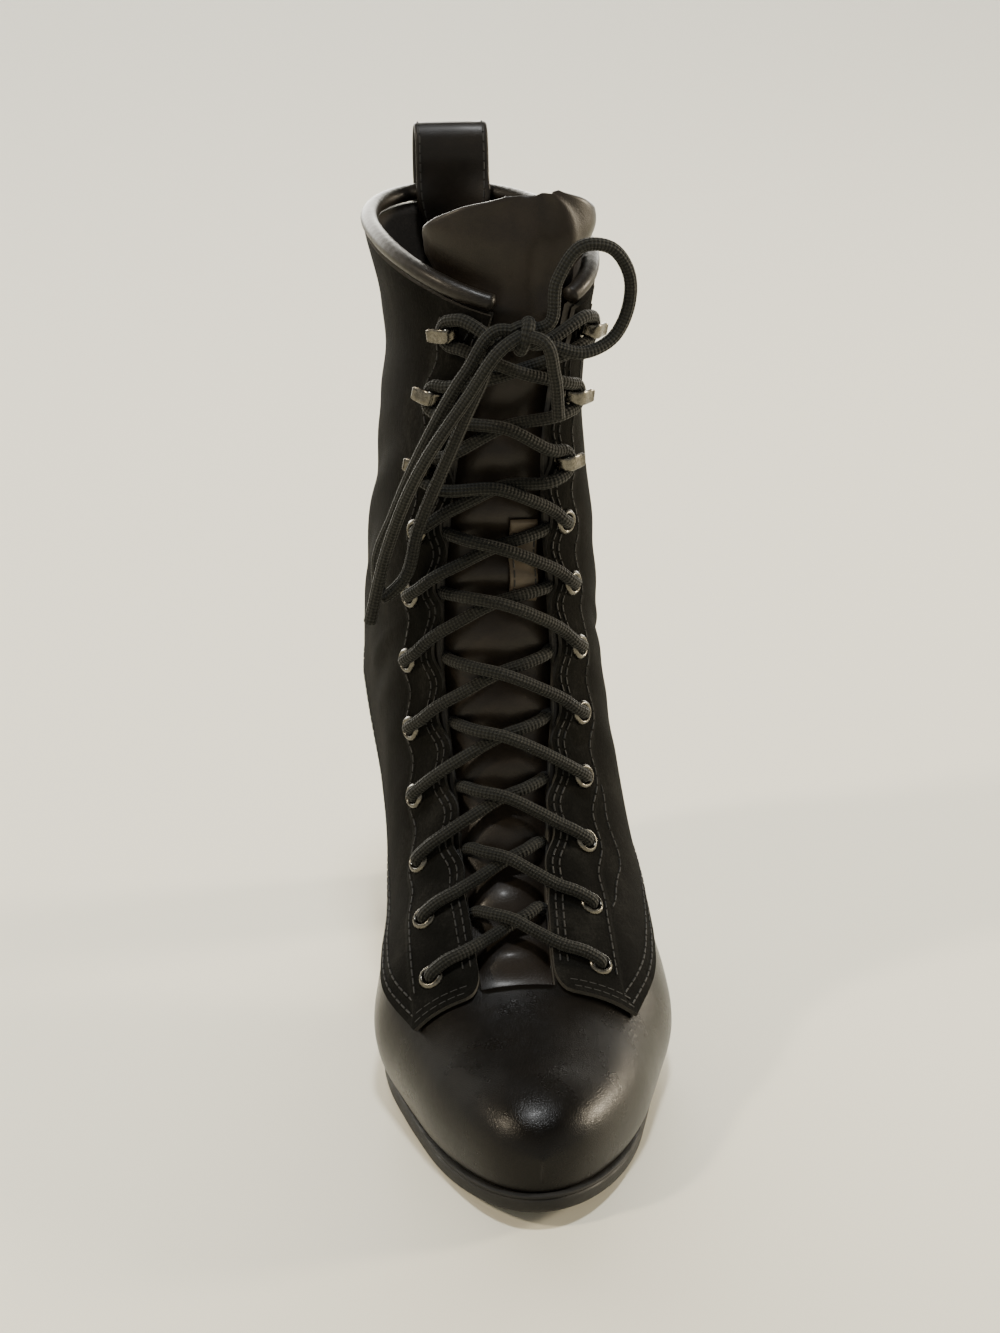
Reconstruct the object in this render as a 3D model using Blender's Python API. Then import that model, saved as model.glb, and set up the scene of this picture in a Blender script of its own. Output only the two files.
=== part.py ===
"""A heeled lace-up boot for the left foot, as separate named pieces.

The toe points to -Y, the outer side of the foot is +X, and the floor is Z = 0.
Tables and sizes are in millimetres and become metres where a mesh is made.
"""

import math
from collections import namedtuple

import bmesh
import bpy
import numpy as np

MM = 0.001

# Main sizes
LENGTH = 241.0
HEEL_HEIGHT = 67.0
SOLE_THICK = 6.0
SEAT_THICK = 4.5
SOLE_EDGE = 0.9
WALL = 2.0
GAP = 0.3
TOE_ROUND = 45.0
TOE_HEIGHT_ROUND = 26.0
TOE_FRONT = 1.5
TOE_POWER = 2.2
HEEL_ROUND = 29.0
HEEL_POWER = 2.1
BODY_COLUMNS = 8
FEATHER_GAP = 0.5
UPPER_INSET = 2.0
INSOLE_INSET = 4.8
INSOLE_THICK = 3.0
INSOLE_GAP = 0.5

# Heel block
BREAST = 191.0
BREAST_FOOT = 198.0
HEEL_FOOT = 237.0
HEEL_FOOT_HALF = 24.0
HEEL_INSET = 1.2
TOP_PIECE = 6.0

# Quarters, tongue and trims
QUARTER_LIFT = 0.6
QUARTER_THICK = 1.2
QUARTER_FRONT = 2.85
BACK_SEAM = 1.4
TONGUE_THICK = 2.2
TONGUE_SINK = 3.5
TONGUE_COLLAR_SINK = 5.0
TONGUE_BULGE = 2.6
TONGUE_STEP = 12.0
TAB_FROM = 3.6
TAB_WIDTH = 9.8
TAB_LOW = 10.2
TAB_HIGH = 12.3
TAB_THICK = 1.6
TAB_LIFT = 0.7
BINDING_RADIUS = 2.8
LOOP_WIDTH = 24.0
LOOP_THICK = 1.6
LOOP_OUTSIDE = 3.8
LOOP_INSIDE = -4.6
LOOP_LEGS = (16.0, 16.35, 16.7)
LOOP_FLAT = 0.85
LOOP_FLAT_FROM = 3.0
LOOP_FLAT_RUN = 8.0

# Lacing
ROWS = 11
HOOK_ROWS = 3
EYELET_HALF = 25.5
HOOK_HALF_INNER = 20.5
HOOK_HALF_OUTER = 17.6
LACE_FIRST = 3.5
LACE_LAST = 16.4
LACE_RADIUS = 2.0
LACE_LIFT = 4.8
EYELET_CLEAR = 6.5
HOOK_CLEAR = 7.0
EYELET_OUTER = 4.1
EYELET_INNER = 2.4
EYELET_THICK = 1.3
HOOK_WIDTH = 5.5
FACET_RISE = 0.1
FACET_DIP = 0.7
KNOT_RISE = 0.7
KNOT_REACH = 3.0
KNOT_RADIUS = 4.4
CORD_STEP = 8.0

# A hook seen from its end: how far from the throat, and how high over the facing
HOOK_SHAPE = [
    (-4.0, 0.0),
    (4.0, 0.0),
    (4.0, 1.0),
    (-2.9, 1.0),
    (-2.9, 5.4),
    (2.6, 5.4),
    (3.6, 5.9),
    (3.3, 6.6),
    (-3.4, 6.6),
    (-4.0, 6.0),
]

# The sole seen from above: middle line, and half widths to its inner and outer edge
Outline = namedtuple("Outline", "along middle inner outer")
OUTLINE = [
    Outline(0, 0.0, 22.4, 24.0),
    Outline(20, 1.5, 26.6, 28.6),
    Outline(40, 2.9, 31.8, 33.4),
    Outline(62, 4.5, 38.6, 39.0),
    Outline(82, 5.8, 43.4, 43.6),
    Outline(100, 6.2, 43.6, 44.6),
    Outline(120, 5.6, 36.5, 41.5),
    Outline(140, 4.6, 29.0, 36.0),
    Outline(160, 3.4, 26.0, 31.5),
    Outline(180, 2.2, 26.0, 29.0),
    Outline(200, 1.2, 27.5, 28.8),
    Outline(220, 0.5, 28.5, 28.8),
    Outline(241, 0.0, 28.0, 28.0),
]

# The underside of the sole seen from the side, as a share of the heel height
Profile = namedtuple("Profile", "along height")
UNDERSIDE = [
    Profile(0, 0.088),
    Profile(12, 0.052),
    Profile(28, 0.018),
    Profile(46, 0.0),
    Profile(96, 0.0),
    Profile(112, 0.045),
    Profile(130, 0.187),
    Profile(150, 0.418),
    Profile(168, 0.649),
    Profile(184, 0.813),
    Profile(200, 0.903),
    Profile(220, 0.963),
    Profile(241, 1.0),
]
FLAT_FROM = 46.0
FLAT_TO = 96.0

# Sections of the upper from toe to collar. Each runs from the ridge (top) to the sole or back (low).
# bow lifts the middle, inner and outer are half widths, widest is how far down they lie,
# top_k and low_k square (below 1) or point (above 1) the curve, gap is half the throat opening.
Section = namedtuple(
    "Section", "name top_y top_z low_y low_z bow inner outer widest top_k low_k top_x low_x gap")
SECTIONS = [
    Section("tip", 2, 39.0, 2, 13.4, 0, 23.6, 25.0, 0.60, 0.90, 1.00, 0.1, 0.1, 11.0),
    Section("toe", 20, 37.2, 20, 8.9, 0, 27.0, 29.4, 0.66, 0.90, 1.00, 1.0, 1.5, 11.0),
    Section("vamp", 40, 41.6, 40, 6.6, 0, 32.8, 36.0, 0.70, 0.92, 1.00, 1.2, 2.9, 11.0),
    Section("throat", 59.5, 48.3, 60, 6.3, 0, 39.8, 42.6, 0.71, 0.95, 1.00, 0.8, 4.4, 11.3),
    Section("ball", 76, 57.5, 82, 6.3, 0, 46.0, 49.0, 0.72, 1.00, 1.00, 0.8, 5.8, 12.0),
    Section("waist", 90, 68.0, 104, 7.2, 0, 43.6, 50.0, 0.70, 1.06, 1.00, 1.0, 6.1, 12.8),
    Section("arch", 101, 80.5, 128, 17.5, 0, 37.6, 47.2, 0.66, 1.10, 1.00, 1.8, 5.2, 14.2),
    Section("shank", 109, 95.5, 152, 35.0, 0, 33.6, 43.6, 0.60, 1.08, 0.95, 2.6, 3.9, 15.2),
    Section("breast", 115, 113.0, 178, 56.5, 0, 32.4, 41.0, 0.54, 1.02, 0.85, 3.2, 2.3, 17.0),
    Section("seat", 119, 131.0, 205, 66.8, 0, 32.6, 39.4, 0.50, 0.95, 0.72, 3.2, 1.0, 18.0),
    Section("heel", 122, 147.5, 230, 70.6, 0, 33.0, 38.4, 0.47, 0.90, 0.62, 3.0, 0.3, 17.5),
    Section("heel_back", 123.5, 158.5, 239, 71.6, 0, 33.2, 38.0, 0.46, 0.88, 0.60, 3.0, 0.0, 17.0),
    Section("counter", 125, 172.0, 242, 92.0, 0, 33.4, 37.4, 0.45, 0.87, 0.75, 3.2, 0.0, 15.6),
    Section("ankle", 125.8, 186.0, 238, 117.0, 0, 33.0, 35.4, 0.45, 0.86, 0.85, 3.8, 0.0, 14.6),
    Section("tendon", 126, 200.0, 228.5, 150.0, 0, 31.2, 31.6, 0.45, 0.86, 0.93, 5.0, 0.0, 13.6),
    Section("shaft", 126, 214.0, 222.5, 190.0, 0, 29.6, 28.0, 0.46, 0.86, 0.95, 7.5, 0.0, 13.0),
    Section("high", 125.7, 227.0, 222.5, 226.0, 3, 29.6, 26.6, 0.47, 0.86, 0.95, 11.0, 0.0, 12.4),
    Section("collar", 125, 239.0, 226, 256.0, 7, 36.4, 27.0, 0.47, 0.86, 0.95, 14.0, 0.0, 12.0),
]
THROAT = 3.0
HEEL_BACK = 11.0
COLLAR = 17.0

# The lower edge of the suede quarters seen from the side
Border = namedtuple("Border", "along height")
BORDER = [
    Border(50, 35.0),
    Border(62, 36.0),
    Border(82, 39.0),
    Border(104, 44.0),
    Border(130, 53.0),
    Border(160, 68.0),
    Border(190, 85.0),
    Border(215, 98.0),
    Border(246, 111.0),
]

# Half widths of the tongue along the sections
TongueRow = namedtuple("TongueRow", "along inner outer")
TONGUE = [
    TongueRow(2.6, 15.0, 15.0),
    TongueRow(4.0, 18.0, 18.0),
    TongueRow(6.0, 21.0, 20.0),
    TongueRow(9.0, 24.0, 23.0),
    TongueRow(12.0, 25.0, 23.0),
    TongueRow(15.0, 26.0, 22.0),
    TongueRow(17.0, 29.0, 20.0),
    TongueRow(18.6, 30.0, 18.5),
    TongueRow(19.5, 26.0, 16.0),
    TongueRow(20.0, 17.0, 9.0),
]

# The pull loop's strap seen from the side: how far off the collar's wall, and above its rim
Strap = namedtuple("Strap", "off rise")
STRAP = [
    Strap(4.7, 3.0),
    Strap(5.0, 9.0),
    Strap(5.0, 16.0),
    Strap(3.4, 22.3),
    Strap(0.0, 25.0),
    Strap(-3.6, 22.3),
    Strap(-5.6, 16.0),
    Strap(-6.0, 9.0),
    Strap(-6.0, 3.0),
]

# Routes of the bow's free cords: across, along and up
Stop = namedtuple("Stop", "across along up")
BOW = {
    "lace_knot": [Stop(5.5, 113.7, 237.0), Stop(9.5, 113.2, 238.0), Stop(13.5, 113.7, 237.5)],
    "lace_loop_inner": [
        Stop(2.6, 113.2, 239.6),
        Stop(-8.0, 113.0, 227.0),
        Stop(-19.6, 117.0, 205.0),
        Stop(-29.0, 124.0, 180.0),
        Stop(-34.5, 127.0, 162.0),
        Stop(-33.0, 126.0, 152.0),
        Stop(-27.5, 124.0, 157.0),
        Stop(-22.0, 121.0, 176.0),
        Stop(-13.0, 116.5, 200.0),
        Stop(-4.0, 113.2, 222.0),
        Stop(2.6, 113.2, 234.8),
    ],
    "lace_end_inner": [
        Stop(3.5, 107.6, 236.5),
        Stop(-8.5, 108.2, 220.0),
        Stop(-23.0, 112.0, 196.0),
        Stop(-32.0, 119.0, 170.0),
        Stop(-37.5, 123.0, 145.0),
    ],
    "lace_loop_outer": [
        Stop(16.4, 113.2, 240.4),
        Stop(19.5, 113.6, 254.0),
        Stop(27.5, 114.5, 264.0),
        Stop(35.5, 115.5, 263.0),
        Stop(41.5, 117.0, 255.0),
        Stop(42.0, 118.0, 245.0),
        Stop(37.0, 117.0, 235.0),
        Stop(28.0, 114.5, 231.5),
        Stop(16.4, 113.2, 234.8),
    ],
    "lace_end_outer": [
        Stop(14.6, 106.8, 237.4),
        Stop(18.0, 107.6, 227.0),
        Stop(19.7, 110.0, 213.0),
    ],
}


def through(knots, values, t):
    """A smooth curve through the values at the knots, straight beyond the ends."""
    knots = np.asarray(knots, float)
    values = np.asarray(values, float)
    t = np.asarray(t, float)
    slopes = np.gradient(values, knots)
    i = np.clip(np.searchsorted(knots, t) - 1, 0, len(knots) - 2)
    step = knots[i + 1] - knots[i]
    u = np.clip((t - knots[i]) / step, 0.0, 1.0)
    inside = (
        values[i] * (1 + 2 * u) * (1 - u) ** 2
        + slopes[i] * step * u * (1 - u) ** 2
        + values[i + 1] * u * u * (3 - 2 * u)
        + slopes[i + 1] * step * u * u * (u - 1)
    )
    past = np.maximum(t - knots[-1], 0.0)
    return inside + slopes[-1] * past


def column(table, name, at, key="along"):
    """One named column of a table, read at places along another."""
    return through([getattr(row, key) for row in table], [getattr(row, name) for row in table], at)


def section(name, t):
    """One named column of the upper's sections at t, where t counts sections from the toe."""
    return through(range(len(SECTIONS)), [getattr(row, name) for row in SECTIONS], t)


def rounding(distance, reach, power):
    """Rises from 0 at an end of the foot to 1 at the reach, as a round end does."""
    share = 1 - np.clip(np.asarray(distance, float) / reach, 0.0, 1.0)
    return (1 - share ** power) ** (1 / power)


def underside(along):
    """Height of the sole's underside."""
    height = HEEL_HEIGHT * column(UNDERSIDE, "height", along)
    flat = (np.asarray(along) >= FLAT_FROM) & (np.asarray(along) <= FLAT_TO)
    return np.where(flat, 0.0, np.maximum(height, 0.0))


def sole_top(along):
    """Height of the sole's upper face."""
    thick = SOLE_THICK + (SEAT_THICK - SOLE_THICK) * np.clip((np.asarray(along) - 100) / 80, 0, 1)
    return underside(along) + thick


def half_outline(along, side, inset):
    """Half width of the sole's outline on one side (-1 inner, 1 outer), drawn in by an inset."""
    base = np.where(side < 0, column(OUTLINE, "inner", along), column(OUTLINE, "outer", along))
    toe = rounding(np.asarray(along) - inset, TOE_ROUND, TOE_POWER)
    heel = rounding(LENGTH - inset - np.asarray(along), HEEL_ROUND, HEEL_POWER)
    return (base - inset) * toe * heel


def upper_point(t, a, side):
    """A point on the outside of the upper: section t, a from ridge (0) to sole or back (1)."""
    t, a, side = np.broadcast_arrays(np.asarray(t, float), np.asarray(a, float), side)
    low_y = section("low_y", t)
    on_sole = t <= HEEL_BACK
    feather = sole_top(low_y) + FEATHER_GAP
    low_z = np.where(on_sole, feather, section("low_z", t))
    top_y = section("top_y", t)
    nose = rounding(top_y - UPPER_INSET + TOE_FRONT, TOE_HEIGHT_ROUND, TOE_POWER)
    top_z = low_z + (section("top_z", t) - low_z) * nose
    half = np.where(side < 0, section("inner", t), section("outer", t))
    half = half * rounding(low_y - UPPER_INSET, TOE_ROUND, TOE_POWER)
    foot = half_outline(np.minimum(low_y, LENGTH - UPPER_INSET), side, UPPER_INSET)
    seat = np.where(on_sole, foot, 0.0)
    widest = section("widest", t)
    angle = a * math.pi
    front = np.clip(angle, 0.0, math.pi / 2)
    rear = np.clip(angle - math.pi / 2, 0.0, math.pi / 2)
    top_k = section("top_k", t)
    low_k = section("low_k", t)
    s_front = widest * (1 - np.maximum(np.cos(front), 0) ** top_k)
    x_front = half * np.sin(front) ** top_k
    s_rear = widest + (1 - widest) * np.sin(rear) ** low_k
    x_rear = seat + (half - seat) * np.maximum(np.cos(rear), 0) ** low_k
    s = np.where(a <= 0.5, s_front, s_rear)
    x = np.where(a <= 0.5, x_front, x_rear)
    middle = section("top_x", t) + (section("low_x", t) - section("top_x", t)) * s
    rise = bow_at(t, s)
    return np.stack([
        middle + side * x,
        top_y + (low_y - top_y) * s,
        top_z + (low_z - top_z) * s + rise,
    ], axis=-1)


def bow_at(t, s):
    """How far a section's middle is lifted, at a share s of the way from ridge to back."""
    return section("bow", t) * np.sin(math.pi * np.clip(s, 0, 1) ** 0.6)


def outward(t, a, side):
    """The outward direction of the upper at a point."""
    dt = 0.02
    da = 0.004
    along = upper_point(t + dt, a, side) - upper_point(t - dt, a, side)
    around = upper_point(t, a + da, side) - upper_point(t, a - da, side)
    normal = np.cross(around, along) * np.asarray(side)[..., None]
    return normal / np.maximum(np.linalg.norm(normal, axis=-1, keepdims=True), 1e-9)


def lifted(t, a, side, lift):
    """A point held off the upper's outside by a lift."""
    t, a, side = np.broadcast_arrays(np.asarray(t, float), np.asarray(a, float), side)
    lift = np.asarray(lift, float)
    return upper_point(t, a, side) + outward(t, a, side) * lift[..., None]


def angle_at(t, side, x):
    """The place a on a section where it lies x away from its ridge."""
    half = np.where(np.asarray(side) < 0, section("inner", t), section("outer", t))
    share = np.clip(np.asarray(x, float) / half, 0.0, 0.999)
    return np.arcsin(share ** (1 / section("top_k", t))) / math.pi


def throat_at(t, side):
    """The place a of the throat's edge on a section."""
    return angle_at(t, side, section("gap", t))


def border_at(t, side):
    """The place a where a section meets the lower edge of the quarters, 1 if it lies above it."""
    low, high = 0.0, 1.0
    point = upper_point(t, 1.0, side)
    if point[2] > column(BORDER, "height", point[1]):
        return 1.0
    for _ in range(30):
        middle = (low + high) / 2
        point = upper_point(t, middle, side)
        if point[2] > column(BORDER, "height", point[1]):
            low = middle
        else:
            high = middle
    return (low + high) / 2


def back_place(t, x):
    """The place a near the back of a section where it lies x away from the middle."""
    half = np.where(np.asarray(x) < 0, section("inner", t), section("outer", t))
    share = np.clip(np.abs(x) / half, 0.0, 1.0) ** (1 / section("low_k", t))
    return 0.5 + np.arccos(share) / math.pi


def spaced(t, side, start, end, count):
    """Places between two ends of a section, evenly spaced along its length."""
    fine = np.linspace(start, end, 80)
    steps = np.linalg.norm(np.diff(upper_point(t, fine, side), axis=0), axis=1)
    run = np.concatenate([[0.0], np.cumsum(steps)])
    return np.interp(np.linspace(0, run[-1], count + 1), run, fine)


def make_material(name, colour, metallic, rough):
    """A plain surface for one group of pieces."""
    material = bpy.data.materials.new(name)
    material.use_nodes = True
    shader = material.node_tree.nodes["Principled BSDF"]
    shader.inputs["Base Color"].default_value = (*colour, 1.0)
    shader.inputs["Metallic"].default_value = metallic
    shader.inputs["Roughness"].default_value = rough
    return material


class Grid:
    """Collects shared points and faces of one mesh, in millimetres."""

    def __init__(self):
        self.points = []
        self.faces = []

    def add(self, points):
        """Adds points and returns their numbers."""
        start = len(self.points)
        self.points.extend(tuple(float(v) for v in p) for p in points)
        return list(range(start, len(self.points)))

    def quad(self, *numbers):
        """Adds a face, dropping repeated corners."""
        ring = [n for i, n in enumerate(numbers) if n != numbers[i - 1]]
        if len(set(ring)) > 2:
            self.faces.append(ring)

    def strip(self, first, second):
        """Joins two rows of points with faces."""
        for i in range(len(first) - 1):
            self.quad(first[i], first[i + 1], second[i + 1], second[i])

    def ring(self, first, second):
        """Joins two closed rows of points with faces."""
        self.strip(first + first[:1], second + second[:1])


def make_object(name, grid, material, thick=0.0, forward=False):
    """Turns a grid into an object, with an even wall behind its face where thick is given."""
    mesh = bpy.data.meshes.new(name)
    mesh.from_pydata([tuple(v * MM for v in p) for p in grid.points], [], grid.faces)
    work = bmesh.new()
    work.from_mesh(mesh)
    bmesh.ops.recalc_face_normals(work, faces=work.faces)
    if forward and sum(face.normal.y for face in work.faces) > 0:
        bmesh.ops.reverse_faces(work, faces=work.faces)
    work.to_mesh(mesh)
    work.free()
    mesh.materials.append(material)
    item = bpy.data.objects.new(name, mesh)
    bpy.context.scene.collection.objects.link(item)
    item.parent = ROOT
    if thick:
        wall = item.modifiers.new("wall", "SOLIDIFY")
        wall.thickness = thick * MM
        wall.offset = -1.0
        wall.use_even_offset = True
        wall.use_rim = True
    return item


def make_tube(name, points, radius, material, closed=False):
    """A round cord or roll along points in millimetres, as a curve with filled ends."""
    curve = bpy.data.curves.new(name, "CURVE")
    curve.dimensions = "3D"
    curve.bevel_depth = radius * MM
    curve.bevel_resolution = 2
    curve.use_fill_caps = True
    curve.render_resolution_u = 0
    spline = curve.splines.new("POLY")
    spline.points.add(len(points) - 1)
    for spot, place in zip(spline.points, points):
        spot.co = (place[0] * MM, place[1] * MM, place[2] * MM, 1.0)
    spline.use_cyclic_u = closed
    curve.materials.append(material)
    item = bpy.data.objects.new(name, curve)
    bpy.context.scene.collection.objects.link(item)
    item.parent = ROOT
    return item


def section_stops():
    """The sections drawn on the upper, closer together at toe and heel."""
    toe = 2.2 * (1 - np.cos(np.linspace(0, math.pi / 2, 8)))
    foot = [2.6, 3.0, 3.5, 4.0, 4.5, 5.0, 5.5, 6.0, 6.5, 7.0, 7.5, 8.0, 8.5, 9.0, 9.5]
    heel = [10.0, 10.35, 10.65, 10.88, 11.0, 11.5]
    shaft = [12.0, 12.5, 13.0, 13.5, 14.0, 14.6, 15.3, 16.0, 16.5, 17.0]
    return [float(t) for t in toe] + foot + heel + shaft


def make_upper(material):
    """The hollow body: a skin over the sections with its wall on the inside."""
    strip_count = 2
    grid = Grid()
    rows = []
    for t in section_stops():
        row = {}
        for side in (-1, 1):
            edge = throat_at(t, side)
            strip = np.linspace(0, edge, strip_count + 1)
            body = spaced(t, side, edge, 1.0, BODY_COLUMNS)
            places = np.concatenate([strip, body[1:]])
            if t == 0.0 and side == 1:
                row[side] = row[-1]
                continue
            row[side] = grid.add(upper_point(t, places, side))
            if side == 1 and t <= THROAT:
                row[side][0] = row[-1][0]
            if side == 1 and t >= HEEL_BACK:
                row[side][-1] = row[-1][-1]
        rows.append((t, row))
    for (t, row), (_, nxt) in zip(rows, rows[1:]):
        for side in (-1, 1):
            first = 0 if t < THROAT else strip_count
            grid.strip(row[side][first:], nxt[side][first:])
    return make_object("upper", drop_loose(grid), material, WALL)


def drop_loose(grid):
    """The same grid without points that no face uses."""
    used = sorted({n for face in grid.faces for n in face})
    number = {n: i for i, n in enumerate(used)}
    tidy = Grid()
    tidy.points = [grid.points[n] for n in used]
    tidy.faces = [[number[n] for n in face] for face in grid.faces]
    return tidy


def make_quarter(name, side, material):
    """A suede panel on the upper's own columns, from the throat to its lower edge."""
    grid = Grid()
    last = None
    stops = [QUARTER_FRONT] + [t for t in section_stops() if t > QUARTER_FRONT + 0.1]
    for t in stops:
        start = throat_at(t, side)
        end = min(border_at(t, side), back_place(t, side * BACK_SEAM))
        columns = spaced(t, side, start, 1.0, BODY_COLUMNS)
        places = np.append(columns[columns < end - 0.012], end)
        row = grid.add(lifted(t, places, side, QUARTER_LIFT + QUARTER_THICK))
        row += row[-1:] * (BODY_COLUMNS + 1 - len(row))
        if last:
            grid.strip(last, row)
        last = row
    return make_object(name, grid, material, QUARTER_THICK)


def stack(name, levels, material):
    """A closed body from levels of point rows: the first and last are faced, the rims joined."""
    grid = Grid()
    rims = []
    for number, level in enumerate(levels):
        rows = [grid.add(row) for row in level] if number in (0, len(levels) - 1) else None
        if rows:
            for first, second in zip(rows, rows[1:]):
                grid.strip(first, second)
            rims.append(rim_of(rows))
        else:
            rims.append(grid.add(rim_of(level)))
    for first, second in zip(rims, rims[1:]):
        grid.ring(first, second)
    return make_object(name, grid, material)


def rim_of(rows):
    """The closed rim around rows of points or point numbers."""
    rows = [list(row) for row in rows]
    right = [row[-1] for row in rows[1:-1]]
    left = [row[0] for row in rows[-2:0:-1]]
    return rows[0] + right + rows[-1][::-1] + left


def outline_rows(stops, inset, height, columns=3):
    """Rows of points across the sole's outline at a height given along the foot."""
    rows = []
    for along in stops:
        middle = column(OUTLINE, "middle", along)
        left = middle - half_outline(along, -1, inset)
        right = middle + half_outline(along, 1, inset)
        rows.append([(x, float(along), float(height(along))) for x in np.linspace(left, right, columns)])
    return rows


def end_stops(inset):
    """Places along the sole, close together at both ends and never quite at a point."""
    toe = inset + TOE_ROUND * (1 - np.cos(np.linspace(0.12, math.pi / 2, 9)))
    heel = LENGTH - inset - HEEL_ROUND * (1 - np.cos(np.linspace(math.pi / 2, 0.12, 8)))
    middle = np.linspace(TOE_ROUND + INSOLE_INSET + 5, LENGTH - HEEL_ROUND - INSOLE_INSET - 5, 15)
    return np.concatenate([toe, middle, heel])


def make_outsole(material):
    """The sole with a rounded lower and upper edge."""
    low = end_stops(SOLE_EDGE)
    full = end_stops(0.0)
    ground = outline_rows(low, SOLE_EDGE, underside)
    lower = outline_rows(full, 0.0, lambda along: 0.75 * underside(along) + 0.25 * sole_top(along))
    upper = outline_rows(full, 0.0, lambda along: 0.2 * underside(along) + 0.8 * sole_top(along))
    return stack("outsole", [ground, lower, upper, outline_rows(low, SOLE_EDGE, sole_top)], material)


def make_insole(material):
    """The board that lies on the sole inside the upper."""
    stops = end_stops(INSOLE_INSET)
    low = outline_rows(stops, INSOLE_INSET, lambda along: sole_top(along) + INSOLE_GAP)
    high = outline_rows(stops, INSOLE_INSET, lambda along: sole_top(along) + INSOLE_GAP + INSOLE_THICK)
    return stack("insole", [low, high], material)


def heel_rows(share, height, columns=3):
    """Rows across the heel block, from its seat (share 0) to its foot (share 1)."""
    rows = []
    front = BREAST + (BREAST_FOOT - BREAST) * share
    back = LENGTH - HEEL_INSET + (HEEL_FOOT - LENGTH + HEEL_INSET) * share
    for step in np.sin(np.linspace(0, 0.96 * math.pi / 2, 12)):
        along = BREAST + (LENGTH - HEEL_INSET - BREAST) * step
        seat = half_outline(along, 1, HEEL_INSET)
        foot = HEEL_FOOT_HALF * rounding(1 - step, 0.62, HEEL_POWER)
        half = seat + (foot - seat) * share ** 0.75
        middle = column(OUTLINE, "middle", along) * (1 - share)
        here = front + (back - front) * step
        rows.append([(float(middle + half * k), float(here), float(height(along)))
                     for k in np.linspace(-1, 1, columns)])
    return rows


def heel_height(along, share):
    """Height of a level of the heel block, just clear of the sole above and the layer below."""
    seat = underside(along) - GAP
    foot = TOP_PIECE + GAP
    return seat + (foot - seat) * share


def make_heel(leather, rubber):
    """The block under the seat and the walking layer below it."""
    levels = []
    for share in (0.0, 0.3, 0.65, 1.0):
        levels.append(heel_rows(share, lambda along, k=share: heel_height(along, k)))
    stack("heel", levels, leather)
    ground = heel_rows(1.0, lambda along: 0.0)
    top = heel_rows(1.0, lambda along: TOP_PIECE)
    stack("heel_top_piece", [ground, top], rubber)


def tongue_point(t, x, extra=0.0):
    """A point on the outside of the tongue, x across from the throat's middle."""
    held = np.minimum(t, COLLAR)
    side = np.where(np.asarray(x) < 0, -1, 1)
    gap = section("gap", held)
    deep = np.clip((held - 13.0) / 1.5, 0.0, 1.0)
    sink = TONGUE_SINK + (TONGUE_COLLAR_SINK - TONGUE_SINK) * deep
    ramp = np.clip((held - 3.1) / 0.7, 0.0, 1.0) * (1 - deep)
    swell = TONGUE_BULGE * ramp * np.clip(1 - (np.asarray(x) / gap) ** 2, 0.0, 1.0)
    place = angle_at(held, side, np.abs(x))
    point = lifted(held, place, side, swell - sink + extra)
    share = section("widest", held) * (1 - np.cos(place * math.pi) ** section("top_k", held))
    past = np.maximum(t - COLLAR, 0.0)
    point[..., 2] -= bow_at(held, share) * np.minimum(past, 1.0)
    point[..., 1] += 1.5 * past
    point[..., 2] += TONGUE_STEP * past
    return point


def make_tongue(material):
    """The tongue under the throat, standing above the collar with a rounded top."""
    grid = Grid()
    last = None
    shaft = [14.4, 15.2, 16.0, 16.5, 17.0, 18.0, 18.8, 19.5, 20.0]
    for t in np.concatenate([np.arange(2.6, 14.0, 1.0), shaft]):
        across = np.linspace(-column(TONGUE, "inner", t), column(TONGUE, "outer", t), 9)
        row = grid.add([tongue_point(t, x) for x in across])
        if last:
            grid.strip(last, row)
        last = row
    return make_object("tongue", grid, material, TONGUE_THICK, forward=True)


def make_tab(material):
    """The plain strap sewn on the tongue between the laces."""
    grid = Grid()
    last = None
    for t in np.linspace(TAB_LOW, TAB_HIGH, 6):
        across = np.linspace(TAB_FROM, TAB_FROM + TAB_WIDTH, 4)
        row = grid.add([tongue_point(t, x, TAB_LIFT + TAB_THICK) for x in across])
        if last:
            grid.strip(last, row)
        last = row
    return make_object("tongue_tab", grid, material, TAB_THICK, forward=True)


def make_binding(material):
    """The leather roll around the collar."""
    middle = (QUARTER_LIFT + QUARTER_THICK - WALL) / 2
    points = []
    for side in (-1, 1):
        places = spaced(COLLAR, side, throat_at(COLLAR, side), 1.0, 12)
        row = lifted(COLLAR, places, side, np.full(13, middle))
        row[:, 2] += BINDING_RADIUS + 0.5
        points.append(row)
    route = np.concatenate([points[0], points[1][-2::-1]])
    return make_tube("collar_binding", route, BINDING_RADIUS, material)


def strap_leg(t, x, side, lift):
    """A point of the pull loop lying along the wall."""
    return lifted(t, min(back_place(t, x), 0.9999), side, lift)


def loop_place(rim, row):
    """A point of the standing loop, which lies flatter the higher it stands over the rim."""
    flat = LOOP_FLAT * np.clip((row.rise - LOOP_FLAT_FROM) / LOOP_FLAT_RUN, 0.0, 1.0)
    back = upper_point(COLLAR, 1.0, 1)
    along = rim[1] + (back[1] - rim[1]) * flat + row.off
    return np.array([rim[0], along, rim[2] + (back[2] - rim[2]) * flat + row.rise])


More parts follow.
